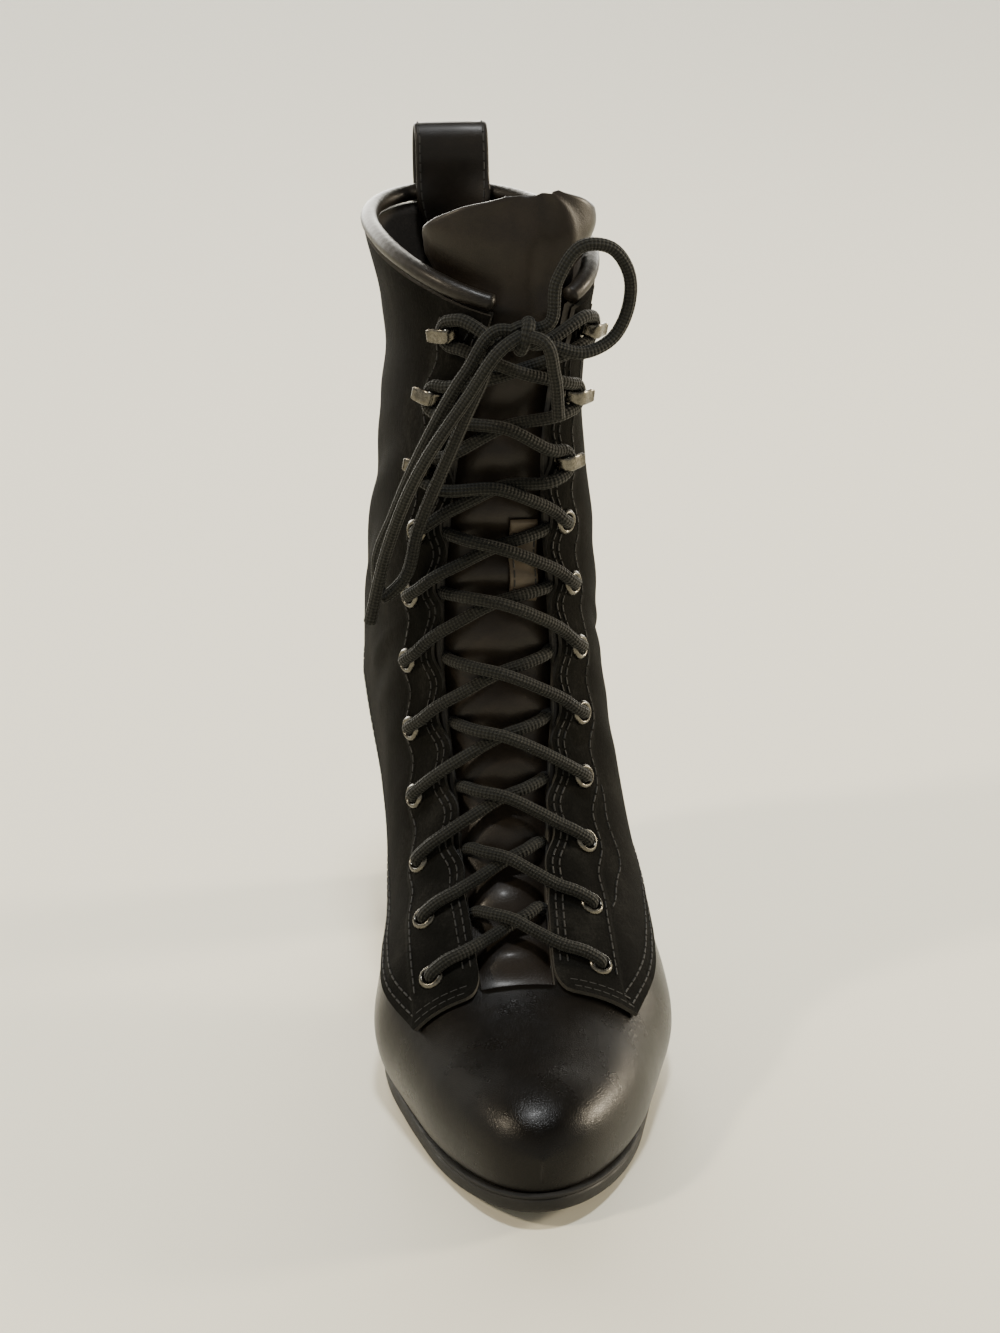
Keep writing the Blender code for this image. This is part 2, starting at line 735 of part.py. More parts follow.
def make_pull_loop(material):
    """A strap sewn to both faces of the collar's back, standing up as a loop."""
    grid = Grid()
    columns = []
    for x in np.linspace(-LOOP_WIDTH / 2, LOOP_WIDTH / 2, 5):
        side = -1 if x < 0 else 1
        place = min(back_place(COLLAR, x), 0.9999)
        rim = upper_point(COLLAR, place, side)
        line = [strap_leg(t, x, side, LOOP_OUTSIDE) for t in LOOP_LEGS]
        line += [loop_place(rim, row) for row in STRAP]
        line += [strap_leg(t, x, side, LOOP_INSIDE) for t in LOOP_LEGS[:0:-1]]
        columns.append(grid.add(line))
    for first, second in zip(columns, columns[1:]):
        grid.strip(first, second)
    item = make_object("pull_loop", grid, material, LOOP_THICK)
    item.modifiers["wall"].offset = 0.0
    return item


def lacing_stops():
    """The sections of the lacing rows, evenly spaced along the facing."""
    fine = np.linspace(LACE_FIRST, LACE_LAST, 200)
    line = upper_point(fine, angle_at(fine, -1, lace_half(fine, -1)), -1)
    run = np.concatenate([[0.0], np.cumsum(np.linalg.norm(np.diff(line, axis=0), axis=1))])
    return np.interp(np.linspace(0, run[-1], ROWS), run, fine)


def lace_half(t, side):
    """How far the lacing lies from the throat's middle: hooks sit closer in than eyelets."""
    hook = HOOK_HALF_INNER if side < 0 else HOOK_HALF_OUTER
    return np.interp(t, [10.0, 14.0], [EYELET_HALF, hook])


def facing_lift(t):
    """Height of the facing's flat faces over the upper's curve, which is rounder up the shaft."""
    face = QUARTER_LIFT + QUARTER_THICK + FACET_RISE
    return face - FACET_DIP * np.clip((t - 8.5) / 2, 0.0, 1.0)


def facing_axes(t, side, lift):
    """A place on the facing with its outward, sideways and upward directions."""
    place = angle_at(t, side, lace_half(t, side))
    spot = lifted(t, place, side, lift)
    normal = outward(t, place, side)
    up = upper_point(t + 0.05, place, side) - upper_point(t - 0.05, place, side)
    up = up - normal * np.dot(up, normal)
    up = up / np.linalg.norm(up)
    away = np.cross(up, normal)
    away = away * (1 if away[0] * side > 0 else -1)
    return spot, normal, away, up


def make_eyelet(name, t, side, material):
    """A metal ring on the facing."""
    spot, normal, away, up = facing_axes(t, side, facing_lift(t) + GAP)
    profile = [(EYELET_INNER, 0.0), (EYELET_OUTER, 0.0), (EYELET_OUTER - 0.5, EYELET_THICK),
               (EYELET_INNER + 0.3, EYELET_THICK)]
    grid = Grid()
    rings = []
    for radius, height in profile:
        turns = np.linspace(0, 2 * math.pi, 10, endpoint=False)
        rings.append(grid.add([spot + normal * height + radius * (away * math.cos(q) + up * math.sin(q))
                               for q in turns]))
    for first, second in zip(rings, rings[1:] + rings[:1]):
        grid.ring(first, second)
    return make_object(name, grid, material)


def make_hook(name, t, side, material):
    """An open hook: base, stem on the throat side and an arm that points away from it."""
    spot, normal, away, up = facing_axes(t, side, facing_lift(t) + 2 * GAP)
    grid = Grid()
    ends = []
    for shift in (-HOOK_WIDTH / 2, HOOK_WIDTH / 2):
        ends.append(grid.add([spot + away * u + normal * n + up * shift for u, n in HOOK_SHAPE]))
    grid.ring(ends[0], ends[1])
    grid.faces.append(ends[0])
    grid.faces.append(ends[1][::-1])
    return make_object(name, grid, material)


def sweep(points, radius, sides=6):
    """A closed round bar along points, as a grid."""
    points = np.asarray(points, float)
    tangents = np.gradient(points, axis=0)
    grid = Grid()
    rings = []
    for place, tangent in zip(points, tangents):
        tangent = tangent / np.linalg.norm(tangent)
        first = np.cross(tangent, (0.0, 0.3, 1.0))
        first = first / np.linalg.norm(first)
        second = np.cross(tangent, first)
        turns = np.linspace(0, 2 * math.pi, sides, endpoint=False)
        rings.append(grid.add([place + radius * (first * math.cos(q) + second * math.sin(q)) for q in turns]))
    for first, second in zip(rings, rings[1:]):
        grid.ring(first, second)
    grid.faces.append(rings[0][::-1])
    grid.faces.append(rings[-1])
    return grid


def lace_arm(low, high, side, clear, reach):
    """Points of one lace that leaves a row on one side and reaches past the middle towards the next."""
    points = []
    start = lace_half(low, side) - clear
    end = min(section("gap", low) + 2.0, lace_half(high, -side) - clear, reach)
    for share in np.linspace(0, 1, 6):
        across = side * (start - (start + end) * share)
        t = low + (high - low) * 0.8 * share
        here = -1 if across < 0 else 1
        points.append(lifted(t, angle_at(t, here, abs(across)), here, LACE_LIFT))
    return points


def make_crossing(number, low, high, clear, material, reach=99.0):
    """Two crossing laces between neighbouring rows, joined where they meet."""
    name = f"lace_cross_{number:02d}"
    item = make_object(name, sweep(lace_arm(low, high, -1, clear, reach), LACE_RADIUS), material)
    other = make_object(name + "_arm", sweep(lace_arm(low, high, 1, clear, reach), LACE_RADIUS), material)
    other.hide_render = True
    other.display_type = "WIRE"
    join = item.modifiers.new("join", "BOOLEAN")
    join.operation = "UNION"
    join.solver = "EXACT"
    join.object = other
    return item


def make_lacing(metal, lace):
    """Eyelets, hooks and the laces between them."""
    stops = lacing_stops()
    first_hook = ROWS - HOOK_ROWS
    for number, t in enumerate(stops, start=1):
        for side, word in ((-1, "inner"), (1, "outer")):
            if number <= first_hook:
                make_eyelet(f"eyelet_{word}_{number:02d}", t, side, metal)
            else:
                make_hook(f"hook_{word}_{number:02d}", t, side, metal)
    for number, (low, high) in enumerate(zip(stops, stops[1:]), start=1):
        clear = EYELET_CLEAR if number <= first_hook else HOOK_CLEAR
        make_crossing(number, low, high, clear, lace)
    make_crossing(ROWS, stops[-1], stops[-1] + KNOT_RISE, HOOK_CLEAR, lace, KNOT_REACH)


def route_points(stops, step):
    """Points along a smooth curve through route stops, evenly spaced."""
    knots = np.arange(len(stops))
    fine = np.linspace(0, len(stops) - 1, 40 * len(stops))
    line = np.stack([through(knots, [getattr(s, key) for s in stops], fine)
                     for key in ("across", "along", "up")], axis=-1)
    run = np.concatenate([[0.0], np.cumsum(np.linalg.norm(np.diff(line, axis=0), axis=1))])
    even = np.linspace(0, run[-1], max(4, int(run[-1] / step) + 1))
    return np.stack([np.interp(even, run, line[:, k]) for k in range(3)], axis=-1)


def make_bow(material):
    """The knot, loops and ends of the lace as free cords."""
    for name, stops in BOW.items():
        radius = KNOT_RADIUS if name == "lace_knot" else LACE_RADIUS
        make_tube(name, route_points(stops, CORD_STEP), radius, material)


def make_all():
    """Builds every piece under one parent."""
    leather = make_material("leather", (0.02, 0.018, 0.016), 0.0, 0.35)
    suede = make_material("suede", (0.025, 0.025, 0.024), 0.0, 0.95)
    rubber = make_material("sole", (0.02, 0.02, 0.02), 0.0, 0.7)
    lining = make_material("lining", (0.10, 0.08, 0.06), 0.0, 0.8)
    metal = make_material("metal", (0.30, 0.29, 0.27), 1.0, 0.3)
    lace = make_material("lace", (0.03, 0.032, 0.028), 0.0, 0.8)
    make_outsole(rubber)
    make_insole(lining)
    make_heel(leather, rubber)
    make_upper(leather)
    make_quarter("quarter_inner", -1, suede)
    make_quarter("quarter_outer", 1, suede)
    make_tongue(leather)
    make_tab(leather)
    make_binding(leather)
    make_pull_loop(leather)
    make_lacing(metal, lace)
    make_bow(lace)


def centre_frame():
    """Moves the parent so that the origin lies under the middle of the pieces, free cords left out."""
    bpy.context.view_layer.update()
    graph = bpy.context.evaluated_depsgraph_get()
    points = []
    for item in ROOT.children:
        if item.hide_render or item.name in BOW:
            continue
        mesh = item.evaluated_get(graph).to_mesh()
        points.extend(tuple(vertex.co) for vertex in mesh.vertices)
    low = np.min(points, axis=0)
    high = np.max(points, axis=0)
    ROOT.location = (-(low[0] + high[0]) / 2, -(low[1] + high[1]) / 2, -low[2])


for old in list(bpy.data.objects):
    bpy.data.objects.remove(old, do_unlink=True)
ROOT = bpy.data.objects.new("boot", None)
bpy.context.scene.collection.objects.link(ROOT)
make_all()
centre_frame()
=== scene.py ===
"""The looks of a heeled lace-up boot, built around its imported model.

Tables and sizes are in millimetres, with the toe tip at along 0, and become metres where a mesh is made.
Places up the boot are counted in the upper's sections, from 0 at the toe to 17 at the collar.
The main tables and shape functions repeat those of the part, so that each piece lies where its node is.
"""

import math
from collections import namedtuple

import bmesh
import bpy
import numpy as np
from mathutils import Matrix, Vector


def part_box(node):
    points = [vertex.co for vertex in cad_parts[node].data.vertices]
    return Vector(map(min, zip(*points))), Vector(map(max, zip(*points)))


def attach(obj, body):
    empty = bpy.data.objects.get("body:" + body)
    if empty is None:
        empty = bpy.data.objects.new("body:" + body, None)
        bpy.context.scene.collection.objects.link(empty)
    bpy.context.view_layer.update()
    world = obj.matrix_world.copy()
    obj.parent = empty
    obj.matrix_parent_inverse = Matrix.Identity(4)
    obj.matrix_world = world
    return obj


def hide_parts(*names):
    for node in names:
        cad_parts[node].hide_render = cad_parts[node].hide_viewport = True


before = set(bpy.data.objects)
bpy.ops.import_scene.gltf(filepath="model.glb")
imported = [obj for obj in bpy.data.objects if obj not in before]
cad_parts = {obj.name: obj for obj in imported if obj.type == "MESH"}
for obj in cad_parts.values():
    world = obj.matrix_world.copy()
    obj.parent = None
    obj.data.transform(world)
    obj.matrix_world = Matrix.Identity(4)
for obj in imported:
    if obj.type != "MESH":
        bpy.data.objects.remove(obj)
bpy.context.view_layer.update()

MM = 0.001

# Main sizes of the part
LENGTH = 241.0
HEEL_HEIGHT = 67.0
SOLE_THICK = 6.0
SEAT_THICK = 4.5
THIN_FROM = 100.0
THIN_RUN = 80.0
WALL = 2.0
GAP = 0.3
TOE_ROUND = 45.0
TOE_HEIGHT_ROUND = 26.0
TOE_FRONT = 1.5
TOE_POWER = 2.2
HEEL_ROUND = 29.0
HEEL_POWER = 2.1
FEATHER_GAP = 0.5
UPPER_INSET = 2.0
INSOLE_INSET = 4.8
INSOLE_THICK = 3.0
INSOLE_GAP = 0.5
BREAST = 191.0
BREAST_FOOT = 198.0
HEEL_FOOT = 237.0
HEEL_FOOT_HALF = 24.0
HEEL_INSET = 1.2
TOP_PIECE = 6.0
QUARTER_TOP = 1.8
QUARTER_THICK = 1.5
QUARTER_FRONT = 2.85
BACK_SEAM = 0.5
TONGUE_THICK = 2.6
TONGUE_SINK = 3.3
TONGUE_COLLAR_SINK = 5.0
TONGUE_BULGE = 3.4
TONGUE_STEP = 12.0
TONGUE_LEAN = 6.0
TONGUE_LEAN_FROM = 26.0
TONGUE_FLAT = 0.45
TONGUE_BACK = 1.5
TONGUE_DEEP_FROM = 13.0
TONGUE_DEEP_RUN = 1.5
SWELL_STARTS = (3.05, 3.7)
SWELL_LOST = 0.75
PILLOW_WAVE = 0.42
LEAN_SPAN = (17.2, 18.8)
FLAT_SPAN = (17.4, 19.0)
FREE_SPAN = (16.6, 18.2)
TONGUE_START = 2.6
TONGUE_END = 20.0
TAB_FROM = 3.6
TAB_WIDTH = 9.8
TAB_LOW = 10.2
TAB_HIGH = 12.3
TAB_THICK = 1.5
TAB_LIFT = 0.5
BINDING_RADIUS = 2.8
BINDING_RISE = 0.5
BINDING_STEP = 1.1
LOOP_WIDTH = 24.0
LOOP_THICK = 1.7
LOOP_INSIDE = -4.6
LOOP_FLAT = 0.85
LOOP_FLAT_FROM = 3.0
LOOP_FLAT_RUN = 8.0

# Lacing of the part
ROWS = 11
HOOK_ROWS = 3
EYELET_HALF = 25.5
HOOK_HALF_INNER = 20.5
HOOK_HALF_OUTER = 17.6
LACING_NARROWS = (10.0, 14.0)
LACE_FIRST = 3.5
LACE_LAST = 16.4
LACE_RADIUS = 2.0
LACE_OVER = 4.6
LACE_UNDER = 1.0
LACE_STEP = 0.8
BOW_STEP = 1.6
CORD_SIDES = 16
TIP_SHARE = 0.4
BRAID_PER_CM = 4.4
BRAID_AROUND = 6.0
EYELET_OUTER = 4.1
EYELET_INNER = 2.3
EYELET_THICK = 1.3
KNOT = (9.5, 113.2, 237.6)

# Looks that the part leaves to this script
HEEL_FILL = 1.2
HEEL_SOFT = 0.7
HEEL_ROUNDS = 40
HEEL_ALONG = (165, 200)
HEEL_UP = (84, 103)
BORDER_BACK = 12.8
LEAF_WIDE = 7.0
SCALLOP = 1.3
SCALLOP_STARTS = (4.4, 6.0)
SCALLOP_ENDS = (16.0, 16.8)
CORNER_RUN = 0.45
CORNER_ROUND = 5.0
RIDGE_SHARE = 0.45
RIDGE_OFF = 1.7
RIDGE_SPREAD = 0.6
SOLE_COLUMNS = 13
STITCH_LONG = 2.3
STITCH_STEP = 3.1
STITCH_RADIUS = 0.3
STITCH_BACK = 5.0
STITCH_LIFT = 0.1
FACING_ROWS = (2.0, 4.3)
STAY_ROW = 1.6
LEAF_INSIDE = 0.8
BORDER_ROWS = (2.0, 4.4)
FRONT_ROWS = (0.10, 0.22)
EYESTAY_WIDE = 8.0
EYESTAY_RISE = 0.55
METAL_LIFT = QUARTER_TOP + EYESTAY_RISE - 0.1

Outline = namedtuple("Outline", "along middle inner outer")
OUTLINE = [
    Outline(0, 0.0, 22.4, 24.0),
    Outline(20, 1.5, 26.6, 28.6),
    Outline(40, 2.9, 31.8, 33.4),
    Outline(62, 4.5, 38.6, 39.0),
    Outline(82, 5.8, 43.4, 43.6),
    Outline(100, 6.2, 43.6, 44.6),
    Outline(120, 5.6, 36.5, 41.5),
    Outline(140, 4.6, 29.0, 36.0),
    Outline(160, 3.4, 26.0, 31.5),
    Outline(180, 2.2, 26.0, 29.0),
    Outline(200, 1.2, 27.5, 28.8),
    Outline(220, 0.5, 28.5, 28.8),
    Outline(241, 0.0, 28.0, 28.0),
]

Profile = namedtuple("Profile", "along height")
UNDERSIDE = [
    Profile(0, 0.088),
    Profile(12, 0.052),
    Profile(28, 0.018),
    Profile(46, 0.0),
    Profile(96, 0.0),
    Profile(112, 0.045),
    Profile(130, 0.187),
    Profile(150, 0.418),
    Profile(168, 0.649),
    Profile(184, 0.813),
    Profile(200, 0.903),
    Profile(220, 0.963),
    Profile(241, 1.0),
]
FLAT_FROM = 46.0
FLAT_TO = 96.0

Section = namedtuple(
    "Section", "name top_y top_z low_y low_z bow inner outer widest top_k low_k top_x low_x gap")
SECTIONS = [
    Section("tip", 2, 39.0, 2, 13.4, 0, 23.6, 25.0, 0.60, 0.90, 1.00, 0.1, 0.1, 11.0),
    Section("toe", 20, 37.2, 20, 8.9, 0, 27.0, 29.4, 0.66, 0.90, 1.00, 1.0, 1.5, 11.0),
    Section("vamp", 40, 41.6, 40, 6.6, 0, 32.8, 36.0, 0.70, 0.92, 1.00, 1.2, 2.9, 11.0),
    Section("throat", 59.5, 48.3, 60, 6.3, 0, 39.8, 42.6, 0.71, 0.95, 1.00, 0.8, 4.4, 11.3),
    Section("ball", 76, 57.5, 82, 6.3, 0, 46.0, 49.0, 0.72, 1.00, 1.00, 0.8, 5.8, 12.0),
    Section("waist", 90, 68.0, 104, 7.2, 0, 43.6, 50.0, 0.70, 1.06, 1.00, 1.0, 6.1, 12.8),
    Section("arch", 101, 80.5, 128, 17.5, 0, 37.6, 47.2, 0.66, 1.10, 1.00, 1.8, 5.2, 14.2),
    Section("shank", 109, 95.5, 152, 35.0, 0, 33.6, 43.6, 0.60, 1.08, 0.95, 2.6, 3.9, 15.2),
    Section("breast", 115, 113.0, 178, 56.5, 0, 32.4, 41.0, 0.54, 1.02, 0.85, 3.2, 2.3, 17.0),
    Section("seat", 119, 131.0, 205, 66.8, 0, 32.6, 39.4, 0.50, 0.95, 0.72, 3.2, 1.0, 18.0),
    Section("heel", 122, 147.5, 230, 70.6, 0, 33.0, 38.4, 0.47, 0.90, 0.62, 3.0, 0.3, 17.5),
    Section("heel_back", 123.5, 158.5, 239, 71.6, 0, 33.2, 38.0, 0.46, 0.88, 0.60, 3.0, 0.0, 17.0),
    Section("counter", 125, 172.0, 242, 92.0, 0, 33.4, 37.4, 0.45, 0.87, 0.75, 3.2, 0.0, 15.6),
    Section("ankle", 125.8, 186.0, 238, 117.0, 0, 33.0, 35.4, 0.45, 0.86, 0.85, 3.8, 0.0, 14.6),
    Section("tendon", 126, 200.0, 228.5, 150.0, 0, 31.2, 31.6, 0.45, 0.86, 0.93, 5.0, 0.0, 13.6),
    Section("shaft", 126, 214.0, 222.5, 190.0, 0, 29.6, 28.0, 0.46, 0.86, 0.95, 7.5, 0.0, 13.0),
    Section("high", 125.7, 227.0, 222.5, 226.0, 3, 29.6, 26.6, 0.47, 0.86, 0.95, 11.0, 0.0, 12.4),
    Section("collar", 125, 239.0, 226, 256.0, 7, 36.4, 27.0, 0.47, 0.86, 0.95, 14.0, 0.0, 12.0),
]
THROAT = 3.0
HEEL_BACK = 11.0
COLLAR = 17.0

Border = namedtuple("Border", "along height")
BORDER = [
    Border(50, 35.0),
    Border(62, 36.0),
    Border(82, 39.0),
    Border(104, 44.0),
    Border(130, 53.0),
    Border(160, 68.0),
    Border(190, 85.0),
    Border(215, 98.0),
    Border(246, 111.0),
]

TongueRow = namedtuple("TongueRow", "along inner outer")
TONGUE = [
    TongueRow(2.6, 15.0, 15.0),
    TongueRow(4.0, 18.0, 18.0),
    TongueRow(6.0, 21.0, 20.0),
    TongueRow(9.0, 24.0, 23.0),
    TongueRow(12.0, 25.0, 23.0),
    TongueRow(15.0, 26.0, 22.0),
    TongueRow(17.0, 29.5, 24.0),
    TongueRow(18.2, 33.0, 26.5),
    TongueRow(18.8, 33.0, 26.5),
    TongueRow(19.3, 28.0, 24.0),
    TongueRow(19.7, 20.0, 19.0),
    TongueRow(20.0, 8.0, 12.0),
]

Fold = namedtuple("Fold", "at width rise")
FOLDS = [
    Fold(0.80, 0.05, 1.5),
    Fold(0.66, 0.08, -1.3),
    Fold(0.30, 0.12, -0.8),
]

Strap = namedtuple("Strap", "off rise")
STRAP = [
    Strap(4.7, 3.0),
    Strap(5.0, 9.0),
    Strap(5.0, 16.0),
    Strap(3.4, 22.3),
    Strap(0.0, 25.0),
    Strap(-3.6, 22.3),
    Strap(-5.6, 16.0),
    Strap(-6.0, 9.0),
    Strap(-6.0, 3.0),
]

Leg = namedtuple("Leg", "at lift")
LOOP_LEGS = [
    Leg(16.0, 2.8),
    Leg(16.35, 3.1),
    Leg(16.7, 3.7),
]

Edge = namedtuple("Edge", "inset share")
SOLE_EDGE = [
    Edge(2.2, 0.0),
    Edge(0.9, 0.02),
    Edge(0.35, 0.10),
    Edge(0.05, 0.24),
    Edge(0.0, 0.42),
    Edge(0.0, 0.62),
    Edge(0.08, 0.72),
    Edge(0.42, 0.77),
    Edge(0.42, 0.81),
    Edge(0.10, 0.86),
    Edge(0.25, 0.95),
    Edge(0.9, 1.0),
    Edge(2.4, 1.0),
]

Turn = namedtuple("Turn", "radius height")
RING = [
    Turn(EYELET_OUTER, -0.3),
    Turn(EYELET_OUTER, 0.25),
    Turn(EYELET_OUTER - 0.25, 0.75),
    Turn(EYELET_OUTER - 0.75, 1.15),
    Turn(3.1, EYELET_THICK),
    Turn(2.7, 1.1),
    Turn(2.42, 0.7),
    Turn(EYELET_INNER, 0.1),
    Turn(EYELET_INNER, -0.2),
]
RIVET = [
    Turn(3.9, -0.2),
    Turn(3.9, 0.3),
    Turn(3.6, 0.55),
    Turn(1.6, 0.9),
    Turn(1.3, 1.25),
    Turn(0.4, 1.45),
]
RIVET_AWAY = 0.6

Bend = namedtuple("Bend", "away rise width")
HOOK_STRIP = [
    Bend(3.2, 0.5, 4.4),
    Bend(0.0, 0.5, 5.0),
    Bend(-2.4, 0.55, 5.0),
    Bend(-3.3, 1.0, 4.6),
    Bend(-3.7, 2.0, 4.2),
    Bend(-3.75, 3.4, 4.2),
    Bend(-3.4, 4.9, 4.4),
    Bend(-2.5, 5.75, 4.6),
    Bend(-0.8, 6.05, 4.7),
    Bend(1.4, 5.95, 4.7),
    Bend(2.9, 6.1, 4.4),
    Bend(3.7, 6.7, 3.4),
]
HOOK_HALF_THICK = 0.5

HookPass = namedtuple("HookPass", "away up lift")
HOOK_PASS = [
    HookPass(-5.5, -4.6, 2.6),
    HookPass(-1.2, -3.4, 3.0),
    HookPass(0.2, 0.0, 3.3),
    HookPass(-1.2, 3.4, 3.0),
    HookPass(-5.5, 4.6, 2.6),
]

Stop = namedtuple("Stop", "across along up")
BOW = {
    "lace_loop_inner": [
        Stop(6.5, 113.2, 239.0),
        Stop(2.6, 113.2, 239.6),
        Stop(-8.0, 113.0, 227.0),
        Stop(-19.6, 117.0, 205.0),
        Stop(-29.0, 124.0, 180.0),
        Stop(-34.5, 127.0, 162.0),
        Stop(-33.0, 126.0, 152.0),
        Stop(-27.5, 124.0, 157.0),
        Stop(-22.0, 121.0, 176.0),
        Stop(-13.0, 116.5, 200.0),
        Stop(-4.0, 113.2, 222.0),
        Stop(2.6, 113.2, 234.8),
        Stop(6.5, 113.2, 236.6),
    ],
    "lace_end_inner": [
        Stop(8.0, 110.5, 238.2),
        Stop(3.5, 107.6, 236.5),
        Stop(-8.5, 108.2, 220.0),
        Stop(-23.0, 112.0, 196.0),
        Stop(-32.0, 119.0, 170.0),
        Stop(-37.5, 123.0, 145.0),
    ],
    "lace_loop_outer": [
        Stop(12.5, 113.2, 239.2),
        Stop(16.4, 113.2, 240.4),
        Stop(19.5, 113.6, 254.0),
        Stop(27.5, 114.5, 264.0),
        Stop(35.5, 115.5, 263.0),
        Stop(41.5, 117.0, 255.0),
        Stop(42.0, 118.0, 245.0),
        Stop(37.0, 117.0, 235.0),
        Stop(28.0, 114.5, 231.5),
        Stop(16.4, 113.2, 234.8),
        Stop(12.5, 113.2, 236.0),
    ],
    "lace_end_outer": [
        Stop(9.5, 110.0, 238.5),
        Stop(14.6, 106.8, 237.4),
        Stop(18.0, 107.6, 227.0),
        Stop(19.7, 110.0, 213.0),
    ],
}

# Creases of the quarters: side, section and slope, shares across where they start and end, depth, width
Crease = namedtuple("Crease", "side at slope start end depth width")
CREASES = [
    Crease(-1, 14.2, -0.9, 0.10, 0.85, 0.9, 0.30),
    Crease(-1, 12.9, -1.1, 0.15, 0.80, 0.8, 0.32),
    Crease(-1, 9.6, -0.6, 0.10, 0.75, 0.7, 0.30),
    Crease(-1, 7.9, -0.5, 0.15, 0.70, 0.5, 0.28),
    Crease(-1, 15.6, -0.5, 0.20, 0.95, 0.6, 0.25),
    Crease(1, 14.6, -0.8, 0.15, 0.90, 0.8, 0.30),
    Crease(1, 12.2, -1.0, 0.10, 0.80, 0.8, 0.34),
    Crease(1, 10.2, -0.7, 0.15, 0.75, 0.7, 0.30),
    Crease(1, 8.4, -0.5, 0.20, 0.70, 0.5, 0.28),
    Crease(1, 15.9, -0.4, 0.25, 0.95, 0.5, 0.25),
]


# Shape functions shared with the part

def through(knots, values, t):
    """A smooth curve through the values at the knots, straight beyond the ends."""
    knots = np.asarray(knots, float)
    values = np.asarray(values, float)
    t = np.asarray(t, float)
    slopes = np.gradient(values, knots)
    i = np.clip(np.searchsorted(knots, t) - 1, 0, len(knots) - 2)
    step = knots[i + 1] - knots[i]
    u = np.clip((t - knots[i]) / step, 0.0, 1.0)
    inside = (
        values[i] * (1 + 2 * u) * (1 - u) ** 2
        + slopes[i] * step * u * (1 - u) ** 2
        + values[i + 1] * u * u * (3 - 2 * u)
        + slopes[i + 1] * step * u * u * (u - 1)
    )
    past = np.maximum(t - knots[-1], 0.0)
    return inside + slopes[-1] * past


def column(table, name, at, key="along"):
    """One named column of a table, read at places along another."""
    return through([getattr(row, key) for row in table], [getattr(row, name) for row in table], at)


def section(name, t):
    """One named column of the upper's sections at t, where t counts sections from the toe."""
    return through(range(len(SECTIONS)), [getattr(row, name) for row in SECTIONS], t)


def rounding(distance, reach, power):
    """Rises from 0 at an end of the foot to 1 at the reach, as a round end does."""
    share = 1 - np.clip(np.asarray(distance, float) / reach, 0.0, 1.0)
    return (1 - share ** power) ** (1 / power)


def smooth(value, low, high):
    """Rises softly from 0 at low to 1 at high."""
    share = np.clip((np.asarray(value, float) - low) / (high - low), 0.0, 1.0)
    return share * share * (3 - 2 * share)


def underside(along):
    """Height of the sole's underside."""
    height = HEEL_HEIGHT * column(UNDERSIDE, "height", along)
    flat = (np.asarray(along) >= FLAT_FROM) & (np.asarray(along) <= FLAT_TO)
    return np.where(flat, 0.0, np.maximum(height, 0.0))


def sole_top(along):
    """Height of the sole's upper face."""
    thick = SOLE_THICK + (SEAT_THICK - SOLE_THICK) * np.clip((np.asarray(along) - THIN_FROM) / THIN_RUN, 0, 1)
    return underside(along) + thick


def half_outline(along, side, inset):
    """Half width of the sole's outline on one side (-1 inner, 1 outer), drawn in by an inset."""
    base = np.where(side < 0, column(OUTLINE, "inner", along), column(OUTLINE, "outer", along))
    toe = rounding(np.asarray(along) - inset, TOE_ROUND, TOE_POWER)
    heel = rounding(LENGTH - inset - np.asarray(along), HEEL_ROUND, HEEL_POWER)
    return (base - inset) * toe * heel


def bow_at(t, s):
    """How far a section's middle is lifted, at a share s of the way from ridge to back."""
    return section("bow", t) * np.sin(math.pi * np.clip(s, 0, 1) ** 0.6)


def upper_point(t, a, side):
    """A point on the outside of the upper: section t, a from ridge (0) to sole or back (1)."""
    t, a, side = np.broadcast_arrays(np.asarray(t, float), np.asarray(a, float), side)
    low_y = section("low_y", t)
    on_sole = t <= HEEL_BACK
    feather = sole_top(low_y) + FEATHER_GAP
    low_z = np.where(on_sole, feather, section("low_z", t))
    top_y = section("top_y", t)
    nose = rounding(top_y - UPPER_INSET + TOE_FRONT, TOE_HEIGHT_ROUND, TOE_POWER)
    top_z = low_z + (section("top_z", t) - low_z) * nose
    half = np.where(side < 0, section("inner", t), section("outer", t))
    half = half * rounding(low_y - UPPER_INSET, TOE_ROUND, TOE_POWER)
    foot = half_outline(np.minimum(low_y, LENGTH - UPPER_INSET), side, UPPER_INSET)
    seat = np.where(on_sole, foot, 0.0)
    widest = section("widest", t)
    angle = a * math.pi
    front = np.clip(angle, 0.0, math.pi / 2)
    rear = np.clip(angle - math.pi / 2, 0.0, math.pi / 2)
    top_k = section("top_k", t)
    low_k = section("low_k", t)
    s_front = widest * (1 - np.maximum(np.cos(front), 0) ** top_k)
    x_front = half * np.sin(front) ** top_k
    s_rear = widest + (1 - widest) * np.sin(rear) ** low_k
    x_rear = seat + (half - seat) * np.maximum(np.cos(rear), 0) ** low_k
    s = np.where(a <= 0.5, s_front, s_rear)
    x = np.where(a <= 0.5, x_front, x_rear)
    middle = section("top_x", t) + (section("low_x", t) - section("top_x", t)) * s
    return np.stack([
        middle + side * x,
        top_y + (low_y - top_y) * s,
        top_z + (low_z - top_z) * s + bow_at(t, s),
    ], axis=-1)


def outward(t, a, side):
    """The outward direction of the upper at a point."""
    dt = 0.02
    da = 0.004
    along = upper_point(t + dt, a, side) - upper_point(t - dt, a, side)
    around = upper_point(t, a + da, side) - upper_point(t, a - da, side)
    normal = np.cross(around, along) * np.asarray(side)[..., None]
    return normal / np.maximum(np.linalg.norm(normal, axis=-1, keepdims=True), 1e-9)


def lifted(t, a, side, lift):
    """A point held off the upper's outside by a lift."""
    t, a, side, lift = np.broadcast_arrays(np.asarray(t, float), np.asarray(a, float), side, lift)
    return upper_point(t, a, side) + outward(t, a, side) * lift[..., None]


